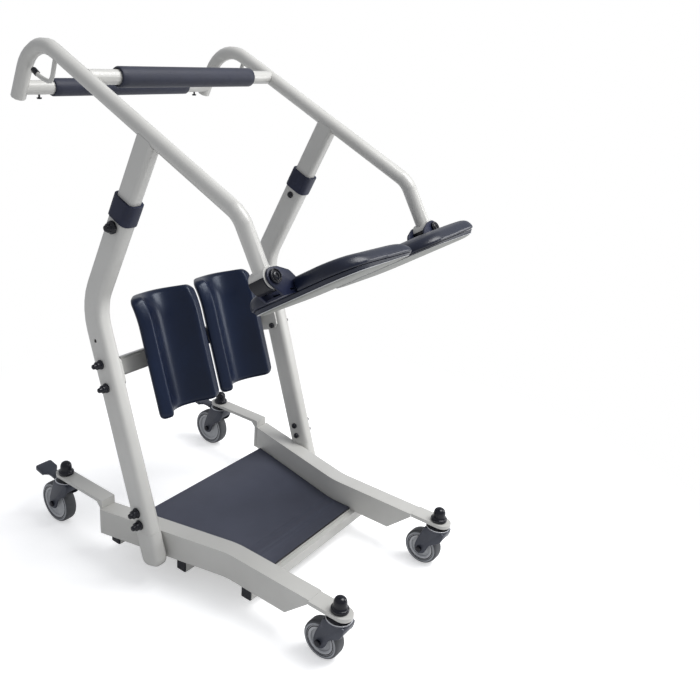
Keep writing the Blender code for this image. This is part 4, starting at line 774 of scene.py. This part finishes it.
def makePad(side):
    columns, rows = padShape["columns"], padShape["rows"]
    bpy.ops.mesh.primitive_grid_add(x_subdivisions=columns, y_subdivisions=rows, size=2)
    pad = nameNew(side + "_knee_cushion")
    inEdit(pad, extrudedBy(-1))
    middle = Vector(padShape["barCentre"]) - lowerFront * padShape["behindBar"] + lowerUp * padShape["rise"]
    middle += acrossAxis * sides[side] * padShape["centreX"]
    crowd = padShape["crowd"]
    for vertex in pad.data.vertices:
        u, v = ((1 - crowd) * t + crowd * math.sin(t * math.pi / 2) for t in vertex.co.xy)
        x, deep, z = padPlace(u, v, vertex.co.z > -0.5)
        vertex.co = middle + acrossAxis * x - lowerFront * deep + lowerUp * z
    inEdit(pad, tidyMesh)
    finishPiece(pad, "knee_support", "pad_skin", side + "_knee_pad",
                angle=padShape["angle"], fill=padShape["fill"])


for side in sides:
    makePad(side)
print("knee pads made")

# Seat halves: a shell, a cushion moulded on it and the hinge with its bracket, pin and cover

seatShape = {
    "axisRise": 0.0470, "axisBack": 0.0115, "innerX": 0.006, "outerX": 0.238, "length": 0.268,
    "corner": 0.062, "sag": 2.0, "shell": 0.012, "shellSoft": 0.0006, "wedge": 0.009, "height": 0.0245,
    "crown": 0.004, "gap": 0.0003, "notchIn": 0.0675, "notchHalf": 0.0268, "notchTall": 0.12,
    "notchSoft": 0.006, "voxel": 0.0024, "smooth": 5, "flatFrom": 0.0004, "angle": 70, "fill": 0.95,
}
cushionRings = (    # share of the height, then drawn in at the outer side, the inner side and the ends
    (0.00, 0.0030, 0.0030, 0.0030), (0.05, 0.0012, 0.0012, 0.0012), (0.14, 0, 0, 0),
    (0.30, 0, 0.0010, 0.0010), (0.45, 0, 0.0030, 0.0030), (0.60, 0.0004, 0.0068, 0.0056),
    (0.78, 0.0015, 0.0130, 0.0100), (0.90, 0.0032, 0.0215, 0.0172), (0.97, 0.0048, 0.0290, 0.0238),
    (1.00, 0.0075, 0.0345, 0.0285),
)
crownRings = (      # share of the top ring, and of the crown's height
    (0.93, 0.22), (0.82, 0.50), (0.66, 0.76), (0.45, 0.92), (0.22, 0.99),
)
shellRings = (      # height, then drawn in all round
    (0.0000, 0.0190), (0.0007, 0.0158), (0.0018, 0.0122), (0.0030, 0.0098), (0.0034, 0.0074),
    (0.0042, 0.0070), (0.0048, 0.0078), (0.0080, 0.0058), (0.0112, 0.0036), (0.0120, 0.0040),
)
lipFrom, lipTo = 0.0029, 0.0042     # the shell's lip, painted pale grey as a highlight line, lies between these heights
bracketShape = {
    "eye": 0.0170, "eyeTurns": range(-40, 96, 9), "ear": 0.0025, "earPlace": 0.0208, "soft": 0.0009,
    "cheek": ((-0.0150, 0.0160), (-0.0390, 0.0060), (-0.0430, 0.0020), (-0.0635, -0.0265), (-0.0638, -0.0345),
              (-0.006, -0.0345)),
    "base": (0.0570, 0.0466, 0.0040), "baseIn": 0.0350, "baseRise": 0.0021, "bore": 0.0053,
    "slot": (0.0300, 0.08, 0.0034), "slotSoft": 0.0012, "slotIn": 0.0400, "slotRise": 0.0078,
}
coverShape = {
    "rings": ((0.0208, -0.0174), (0.0216, -0.0177), (0.0228, -0.0168), (0.0230, 0.0), (0.0228, 0.0168),
              (0.0216, 0.0177), (0.0208, 0.0174)),
    "cut": 0.06, "cutRise": 0.034, "cutIn": 0.002,
}
pinTail = ((0.0035, 0.0), (0.0058, 0.0004), (0.0072, 0.0022), (0.0078, 0.0050), (0.0048, 0.0051))
pinHead = ((0.0048, -0.0053), (0.0121, -0.0051), (0.0127, -0.0040), (0.0126, -0.0012), (0.0118, -0.0003),
           (0.0106, -0.0004), (0.0096, -0.0022), (0.0088, -0.0024), (0.0082, -0.0022), (0.0076, -0.0004),
           (0.0064, 0.0006), (0.0042, 0.0010), (0.0034, -0.0010))
seatBack = jointAxis["left_seat_hinge"]
seatHinge = jointPlace["left_seat_hinge"]
seatAcross = Matrix.Rotation(math.radians(-seatShape["sag"]), 3, seatBack) @ acrossAxis
seatNormal = seatAcross.cross(seatBack)
seatAxes = seatAcross, seatBack, seatNormal
seatFloor = seatShape["shell"] + seatShape["gap"]
seatWidth = seatShape["outerX"] - seatShape["innerX"]


def seatPoint(across, along, rise):
    level = seatAcross * (across - seatHinge.x) + seatNormal * (rise - seatShape["axisRise"])
    return seatHinge + seatBack * (seatShape["axisBack"] + along) + level


def seatRing(rise, outer, inner, end, wedge=0.0):
    middle = (seatShape["outerX"] + seatShape["innerX"]) / 2 + (inner - outer) / 2
    corner = seatShape["corner"] - (outer + inner + 2 * end) / 5
    outline = roundedOutline((seatWidth - outer - inner) / 2, seatShape["length"] / 2 - end, corner, 16)
    lift = [wedge * (seatShape["outerX"] - middle - x) / seatWidth for x, y in outline]
    return [seatPoint(middle + x, y, rise + up) for (x, y), up in zip(outline, lift)]


def paintShell(shell, sign):
    # the moulded skin wraps down the side wall to a lip painted pale grey as a highlight line, and the underside
    # is bare grey shell
    across, normal, hinge = (Vector((way.x * sign, *way.yz)) for way in (seatAcross, seatNormal, seatHinge))

    def riseOf(face):
        offset = face.center - hinge
        inwards = (seatShape["outerX"] - seatHinge.x - offset.dot(across)) / seatWidth
        lift = seatShape["wedge"] * min(max(inwards, 0), 1)
        return (offset.dot(normal) + seatShape["axisRise"] - lift) / (1 - lift / shellRings[-1][0])

    paintFaces(shell, "seatSkin", lambda face: riseOf(face) > lipTo)
    # painted highlight: the lip gets the pale hub grey
    paintFaces(shell, "hubNylon", lambda face: lipFrom < riseOf(face) < lipTo)


def makeSeatShells():
    top, wedge = shellRings[-1][0], seatShape["wedge"]
    rings = [seatRing(rise, inset, inset, inset, wedge * (1 - rise / top)) for rise, inset in shellRings]
    shell = softenEdges(lofted("left_seat_shell", rings), seatShape["shellSoft"], angle=40)
    for made, sign in zip(bothSides(shell, "{side}_seat", "seat_base", "seat_plate"), sides.values()):
        paintShell(made, sign)


def makeSeatCushions():
    rings = [seatRing(seatFloor + share * seatShape["height"], *insets) for share, *insets in cushionRings]
    top = rings[-1]
    hub = sum(top, Vector()) / len(top)
    for share, lift in crownRings:
        rings.append([hub + (point - hub) * share + seatNormal * seatShape["crown"] * lift for point in top])
    cushion = lofted("left_seat_pad", rings)
    reach = seatShape["outerX"] - (seatHinge.x - seatShape["notchIn"])
    notch = block("notch", (2 * reach, 2 * seatShape["notchHalf"], seatShape["notchTall"]))
    softenEdges(notch, seatShape["notchSoft"], 4)
    turnOnto(notch, seatPoint(seatShape["outerX"], -seatShape["axisBack"], seatFloor), *seatAxes)
    cutAway(cushion, notch)
    skin = cushion.modifiers.new("skin", "REMESH")
    skin.mode = "VOXEL"
    skin.voxel_size = seatShape["voxel"]
    ease = cushion.modifiers.new("ease", "SMOOTH")
    ease.factor = 0.5
    ease.iterations = seatShape["smooth"]
    applyModifiers(cushion)
    start = seatPoint(0, 0, seatFloor + seatShape["flatFrom"])     # the underside stays flat on the shell
    for vertex in cushion.data.vertices:
        below = (vertex.co - start).dot(seatNormal)
        if below < 0:
            vertex.co -= seatNormal * below
    bothSides(cushion, "{side}_seat", "seat_skin", "seat_cushion",
              angle=seatShape["angle"], fill=seatShape["fill"])


def makeSeatBrackets():
    # a channel of two broad ears over a floor, with an oblong slot low in each ear
    turns = [math.radians(turn) for turn in bracketShape["eyeTurns"]]
    outline = [(bracketShape["eye"] * math.cos(turn), bracketShape["eye"] * math.sin(turn)) for turn in turns]
    outline += bracketShape["cheek"]
    floor = seatFloor - seatShape["axisRise"]
    bracket, ear = (plate("left_hinge_bracket", outline, bracketShape["ear"], seatHinge + seatBack * offset,
                          seatAcross, seatNormal, bracketShape["soft"])
                    for offset in (bracketShape["earPlace"], -bracketShape["earPlace"]))
    base = block("base", bracketShape["base"])
    slot = softenEdges(block("slot", bracketShape["slot"]), bracketShape["slotSoft"])
    for piece, kind in ((base, "base"), (slot, "slot")):
        inwards, rise = bracketShape[kind + "In"], bracketShape[kind + "Rise"]
        turnOnto(piece, seatHinge - seatAcross * inwards + seatNormal * (floor + rise), *seatAxes)
    bore = settle(rod("bore", bracketShape["bore"], -0.04, 0.04, 32), seatHinge, seatBack)
    cutAway(bracket, ear, base, operation="UNION")
    cutAway(bracket, bore, slot)
    inEdit(bracket, tidyMesh)
    bothSides(bracket, "{side}_seat", "collar_plastic", "seat_bracket")


def makeHingePins():
    # the pin's head is a ring round a countersunk dome, with a domed nut at the other end
    tail, head = (reach - seatHinge.dot(seatBack) for reach in reachOf("left_seat_hinge_pin", seatBack))
    pin = turned("left_hinge_bolt", raised(pinTail, tail) + raised(pinHead, head), 40)
    settle(pin, seatHinge, seatBack)
    bothSides(pin, "upper_frame", "black_plastic", "seat_hinge_pin")


def makeKnuckleCovers():
    # a black half sleeve that wraps the barrel below the rail's end
    cover = turned("left_knuckle_cover", coverShape["rings"], 64, hollow=True)
    settle(cover, seatHinge, seatBack)
    up = acrossAxis.cross(seatBack)
    top = block("top", (coverShape["cut"],) * 3)
    middle = seatHinge + up * coverShape["cutRise"] - acrossAxis * coverShape["cutIn"]
    turnOnto(top, middle, acrossAxis, seatBack, up)
    cutAway(cover, top)
    bothSides(cover, "upper_frame", "black_plastic")


makeSeatShells()
makeSeatCushions()
makeSeatBrackets()
makeHingePins()
makeKnuckleCovers()
print("seat made")

# Clamp knobs, bolts and nuts on the side frames

sideFrame = {"x": 0.271, "half": 0.0175, "foot": (0, -0.0367, 0.120), "gussetFace": 0.2482, "gap": 0.0003}
knobShape = {"shank": 0.0038, "flutes": 8, "fluteDepth": 0.035, "fluteFrom": 0.0115}
knobTail = ((0.0020, 0.0), (0.0046, 0.0006), (0.0066, 0.0028), (0.0078, 0.0050))
knobNut = ((0.0080, -0.0008), (0.0074, 0.0), (0.0038, 0.0))
knobRings = ((0.0112, 0.0), (0.0128, 0.0012), (0.0134, 0.0034), (0.0132, 0.0058), (0.0120, 0.0078),
             (0.0094, 0.0090), (0.0086, 0.0100), (0.0084, 0.0112), (0.0092, 0.0122), (0.0090, 0.0136),
             (0.0074, 0.0146), (0.0066, 0.0156), (0.0064, 0.0176), (0.0058, 0.0188), (0.0030, 0.0193))
boltRings = ((0.0096, 0.0), (0.0103, 0.0007), (0.0103, 0.0024), (0.0095, 0.0031), (0.0086, 0.0034),
             (0.0086, 0.0062), (0.0079, 0.0067), (0.0079, 0.0080), (0.0084, 0.0085), (0.0083, 0.0118),
             (0.0074, 0.0127), (0.0058, 0.0132), (0.0053, 0.0142), (0.0053, 0.0186), (0.0047, 0.0203),
             (0.0034, 0.0213), (0.0016, 0.0217))
nutRings = ((0.0062, 0.0), (0.0070, 0.0006), (0.0070, 0.0044), (0.0058, 0.0062), (0.0034, 0.0070),
            (0.0014, 0.0072))
tubeInside = sideFrame["x"] - sideFrame["half"]
bolts = {   # height along the upright, body, size of the head, and the face that the nut sits on
    "lower_foot_bolt": (0.023, "base", 1.08, tubeInside),
    "upper_foot_bolt": (0.050, "base", 1.08, tubeInside),
    "lower_knee_bolt": (0.324, "knee_support", 1.0, sideFrame["gussetFace"]),
    "upper_knee_bolt": (0.374, "knee_support", 1.0, sideFrame["gussetFace"]),
}


def makeClampKnobs():
    place = jointPlace["left_clamp_turn"]
    face = sideFrame["half"] + sideFrame["gap"]
    inner = reachOf("left_clamp_knob", acrossAxis)[0] - place.x
    rings = raised(knobTail, inner) + raised(knobNut, -face) + [(knobShape["shank"], face)]
    rings += raised(knobRings, face)
    knob = turned("left_clamp_handwheel", rings, 40)
    for vertex in knob.data.vertices:      # finger flutes round the flange
        if vertex.co.z > face and vertex.co.xy.length > knobShape["fluteFrom"]:
            turn = math.atan2(vertex.co.y, vertex.co.x) * knobShape["flutes"]
            vertex.co.xy *= 1 - knobShape["fluteDepth"] * (0.5 - 0.5 * math.cos(turn))
    settle(knob, place, acrossAxis)
    bothSides(knob, "{side}_clamp", "black_plastic", "clamp_knob")


def makeBolt(name, height, body, scale, nutFace):
    start = Vector(sideFrame["foot"]) + lowerUp * height
    face = sideFrame["x"] + sideFrame["half"] + sideFrame["gap"]
    head = turned("left_" + name, [(radius * scale, along) for radius, along in boltRings], 32)
    bothSides(settle(head, start + acrossAxis * face, acrossAxis), body, "black_plastic")
    nut = turned("left_" + name + "_nut", nutRings, 24)
    settle(nut, start + acrossAxis * (nutFace - sideFrame["gap"]), -acrossAxis)
    bothSides(nut, body, "black_plastic")


makeClampKnobs()
for name, facts in bolts.items():
    makeBolt(name, *facts)
print("bolts made")

# Casters

casterSizes = {     # heights of the fork's top and the plate's top, and the wheel's radius
    "front": (0.130, 0.138, 0.050), "rear": (0.111, 0.119, 0.040),
}
casterShape = {
    "wheelHalf": 0.014, "cheek": 0.020, "crownHalf": 0.0235, "gap": 0.0003, "race": 0.008, "tread": 0.009,
    "dark": 0.0020,
}
wheelPaint = {"wall": 0.0044, "groove": (0.0030, 0.0010), "boss": 0.0105}
capRings = ((0.0160, 0.0), (0.0174, 0.0010), (0.0178, 0.0028), (0.0178, 0.0060), (0.0168, 0.0076),
            (0.0152, 0.0082), (0.0148, 0.0096), (0.0140, 0.0104), (0.0134, 0.0112), (0.0133, 0.0160),
            (0.0131, 0.0196), (0.0123, 0.0236), (0.0106, 0.0269), (0.0078, 0.0293), (0.0044, 0.0307),
            (0.0012, 0.0311))
raceRings = ((0.0215, 0.0), (0.0258, 0.0003), (0.0265, 0.0009), (0.0261, 0.0017), (0.0246, 0.0021),
             (0.0226, 0.0028), (0.0204, 0.0042), (0.0180, 0.0062), (0.0170, 0.0070), (0.0166, 0.0079))
axleShape = {
    "over": 0.0002, "shank": 0.0050,
    "cap": ((0.0068, 0.0), (0.0070, 0.0012), (0.0066, 0.0042), (0.0050, 0.0054), (0.0020, 0.0058)),
}
forkShape = {
    "soft": 0.0022, "crown": 0.005, "side": 0.003, "behind": 0.0026, "roomSoft": 0.002, "depth": 0.2,
    "arch": 0.0150, "archDrop": 0.036, "slit": (0.031, 0.03, 0.036), "slitDrop": 0.052, "bore": 0.0063,
    "nose": (-0.003, -0.010), "heel": (0.0215, 0.28), "waist": (-0.006, 0.52), "shoulder": 0.012,
    "toe": ((-0.0125, 0.012), (-0.0125, -0.005), (-0.006, -0.0135), (0.008, -0.0125), (0.0155, -0.002)),
    "crownFoot": ((0.0212, 0.0), (0.0232, 0.0012)),
    "crownRim": ((0.0258, -0.0012), (0.0256, -0.0002), (0.0200, 0.0)),
}


def mirroredSection(side):
    return side + [(ring, -height) for ring, height in side[::-1]]


def wheelRings(radius, half):
    # the tyre's section: bead, side wall, rounded shoulder and tread, the same on both sides
    rim = radius - casterShape["tread"] + casterShape["gap"]
    return mirroredSection([(rim, 0.0015 - half), (rim + 0.0012, -half), (radius - 0.0042, -half),
                            (radius - 0.0026, 0.0007 - half), (radius - 0.0010, 0.0026 - half),
                            (radius - 0.0002, 0.0056 - half), (radius, -0.003)])


def hubRings(radius, half):
    # bearing boss, dished web, groove and rim, the same on both sides
    rim = radius - casterShape["tread"]
    side = [(0.0054, 0.0), (0.0110, 0.0), (0.0124, 0.0012), (0.0128, 0.0042), (0.0150, 0.0050),
            (rim - 0.0094, 0.0050), (rim - 0.0084, 0.0040), (rim - 0.0080, 0.0016), (rim - 0.0072, 0.0010),
            (rim - 0.0028, 0.0008), (rim - 0.0024, 0.0020), (rim - 0.0014, 0.0020), (rim - 0.0010, 0.0010),
            (rim, 0.0012)]
    return mirroredSection(raised(side, -half))


def makeWheel(name, axle, radius):
    wallFrom, rim = radius - wheelPaint["wall"], radius - casterShape["tread"]
    grooveFrom, grooveTo = (rim - inset for inset in wheelPaint["groove"])

    def awayFrom(face):
        return (face.center - axle).yz.length

    tyre, hub = (turned(name + kind, rings(radius, casterShape["wheelHalf"]), 72, hollow=True)
                 for kind, rings in (("_tread", wheelRings), ("_hub", hubRings)))
    settle(tyre, axle, acrossAxis)
    settle(hub, axle, acrossAxis)
    finishPiece(tyre, name + "_wheel", "tyre_rubber", name + "_tyre")
    paintFaces(tyre, "tyreSide", lambda face: abs(face.normal.x) > squareOn and awayFrom(face) < wallFrom)
    finishPiece(hub, name + "_wheel", "wheel_hub", name + "_wheel_hub")
    paintFaces(hub, "blackPlastic", lambda face: grooveFrom < awayFrom(face) < grooveTo
               or awayFrom(face) < wheelPaint["boss"])


def forkOutline(stemY, axle, top):
    # a cheek from the side: broad at the crown, drawn in behind, round at the axle
    rear, front = stemY + casterShape["crownHalf"], stemY - casterShape["crownHalf"]
    noseY, noseZ = forkShape["nose"]
    heelY, heelLift = forkShape["heel"]
    waistY, waistLift = forkShape["waist"]
    lift = top - axle.z
    points = [(rear, top), (front, top), (front + noseY, top + noseZ)]
    points += [(axle.y + y, axle.z + z) for y, z in forkShape["toe"]]
    points += [(axle.y + heelY, axle.z + lift * heelLift), (rear + waistY, axle.z + lift * waistLift)]
    return points + [(rear, top - forkShape["shoulder"])]


def makeFork(name, stem, axle, height):
    high = height - casterShape["race"] - 2 * casterShape["gap"]
    low = high - forkShape["crown"]
    rear, foot, depth = stem.y + casterShape["crownHalf"], Vector((stem.x, stem.y, 0)), forkShape["depth"]
    outline = smoothOutline(forkOutline(stem.y, axle, high), 4)
    fork = plate(name + "_bracket", outline, casterShape["cheek"], acrossAxis * stem.x, alongAxis, upAxis,
                 forkShape["soft"])
    room = block("room", (2 * (casterShape["wheelHalf"] + forkShape["side"]), depth, depth),
                 (stem.x, rear - forkShape["behind"] - depth / 2, low - depth / 2))
    softenEdges(room, forkShape["roomSoft"])
    arch = rod("arch", forkShape["arch"], -0.03, 0.03, 40)
    settle(arch, (stem.x, rear, low - forkShape["archDrop"]), alongAxis)
    slit = block("slit", forkShape["slit"], (stem.x, rear, low - forkShape["slitDrop"]))
    crown = turned("crown", raised(forkShape["crownFoot"], low) + raised(forkShape["crownRim"], high))
    hole = rod("hole", forkShape["bore"], low - 0.01, high + 0.01, 24)
    cutAway(fork, room, arch, slit)
    cutAway(fork, settle(crown, foot), operation="UNION")
    cutAway(fork, settle(hole, foot))
    finishPiece(fork, name + "_swivel", "caster_housing", name + "_fork", angle=32)


def makeAxleBolt(name, axle):
    # a shank right through, with a domed black cap over each end
    reach = casterShape["cheek"] + axleShape["over"]
    end = [(radius, -reach - height) for radius, height in axleShape["cap"][::-1]]
    end.append((axleShape["shank"], -reach))
    bolt = settle(turned(name + "_axle_bolt", mirroredSection(end), 32), axle, acrossAxis)
    finishPiece(bolt, name + "_swivel", "black_plastic")


def makeCaster(name, kind):
    stem, axle = jointPlace[name + "_swivel_turn"], jointPlace[name + "_wheel_roll"]
    height, top, radius = casterSizes[kind]
    cap = settle(turned(name + "_cap_nut", capRings), (stem.x, stem.y, top + casterShape["gap"]))
    finishPiece(cap, "base", "black_plastic", name + "_caster_head")
    raceLow = height - casterShape["gap"] - casterShape["race"]
    race = settle(turned(name + "_swivel_race", raceRings), (stem.x, stem.y, raceLow))
    finishPiece(race, "base", "caster_housing", look="zinc")
    paintFaces(race, "blackPlastic", lambda face: face.center.z > raceLow + casterShape["dark"])
    makeFork(name, stem, axle, height)
    makeAxleBolt(name, axle)
    makeWheel(name, axle, radius)


for side in sides:
    for kind in casterSizes:
        makeCaster(side + "_" + kind, kind)
print("casters made")

# Brake pedals on the front casters

pedalShape = {      # rings are y, z, half thickness and half width, from the hinge and from the tip
    "stem": ((0.0052, 0.0000, 0.0044, 0.0120), (0.0020, 0.0010, 0.0046, 0.0120),
             (-0.0100, 0.0024, 0.0038, 0.0120), (-0.0230, 0.0022, 0.0032, 0.0120),
             (-0.0310, 0.0024, 0.0038, 0.0185), (-0.0340, 0.0028, 0.0054, 0.0215)),
    "tip": ((0.003, 0.0074, 0.0056, 0.0215), (0.0, 0.0078, 0.0044, 0.0185)),
    "over": 0.0005, "corner": 0.0022, "cornerShare": 0.8, "soft": 0.0009, "bore": 0.0023,
    "ribs": 3, "rib": (0.0370, 0.0032, 0.0050), "ribFrom": -0.0370, "ribTo": 0.0045, "ribSoft": 0.0006,
    "ribRise": 0.0084, "ribClimb": 0.0046,
}


def makePedal(side):
    name = side + "_front_brake_pedal"
    hinge = jointPlace[side + "_front_pedal_press"]
    tip = reachOf(name, alongAxis)[0] - hinge.y + pedalShape["over"]
    line = [*pedalShape["stem"], *((tip + y, *more) for y, *more in pedalShape["tip"])]
    rings = []
    for y, z, half, wide in line:
        section = roundedOutline(wide, half, min(half * pedalShape["cornerShare"], pedalShape["corner"]), 3)
        rings.append([hinge + Vector((x, y, z + up)) for x, up in section])
    parts = [softenEdges(lofted(side + "_brake_lever", rings), pedalShape["soft"], angle=35)]
    for index in range(pedalShape["ribs"]):
        share = index / (pedalShape["ribs"] - 1)
        y = pedalShape["ribFrom"] + (tip + pedalShape["ribTo"] - pedalShape["ribFrom"]) * share
        rise = pedalShape["ribRise"] + pedalShape["ribClimb"] * share
        rib = block("rib", pedalShape["rib"], hinge + Vector((0, y, rise)))
        parts.append(softenEdges(rib, pedalShape["ribSoft"]))
    pedal = joinPieces(*parts)
    cutAway(pedal, settle(rod("bore", pedalShape["bore"], -0.03, 0.03, 20), hinge, acrossAxis))
    finishPiece(pedal, side + "_front_pedal", "caster_housing", name)


for side in sides:
    makePedal(side)
print("brake pedals made")

# Foot mat with its dark cut edge, and end plugs of the cross tubes

matRimWidth = 0.0022
plugHalves = {
    "middle_cross_tube": (0.0125, 0.0125), "rear_cross_tube": (0.0125, 0.0125),
    "front_cross_tube": (0.0125, 0.0070),
}
plugRings = ((-0.010, 0.0034), (-0.0002, 0.0030), (0.0002, 0.0006), (0.0012, 0.0), (0.0030, 0.0),
             (0.0040, 0.0008), (0.0044, 0.0024))
plugCorner = 0.0014


def makeMat():
    mat = newObject("mat_sheet", frame["nodes"]["foot_mat"].data.copy())
    mat.data.name = "mat_sheet"
    inEdit(mat, tidyMesh, lambda: bpy.ops.mesh.dissolve_limited(angle_limit=math.radians(1)))
    for face in mat.data.polygons:
        face.select = face.normal.z > squareOn
    bpy.ops.object.mode_set(mode="EDIT")
    bpy.ops.mesh.inset(thickness=matRimWidth, depth=0)
    bpy.ops.object.mode_set(mode="OBJECT")
    inner = max(mat.data.polygons, key=lambda face: face.area if face.normal.z > squareOn else 0).index
    finishPiece(mat, "base", "mat_rubber", "foot_mat")
    paintFaces(mat, "matRim", lambda face: face.index != inner)


def makePlug(node, halfY, halfZ):
    # a square plug with a rounded flange, pressed into the tube's end
    low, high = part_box(node)
    place = Vector((high.x, (low.y + high.y) / 2, (low.z + high.z) / 2))
    rings = []
    for out, inset in plugRings:
        section = roundedOutline(halfY - inset, halfZ - inset, plugCorner, 3)
        rings.append([place + Vector((out, y, z)) for y, z in section])
    bothSides(lofted("left_" + node + "_plug", rings), "base", "black_plastic")


makeMat()
for node, halves in plugHalves.items():
    makePlug(node, *halves)
print("mat and plugs made")
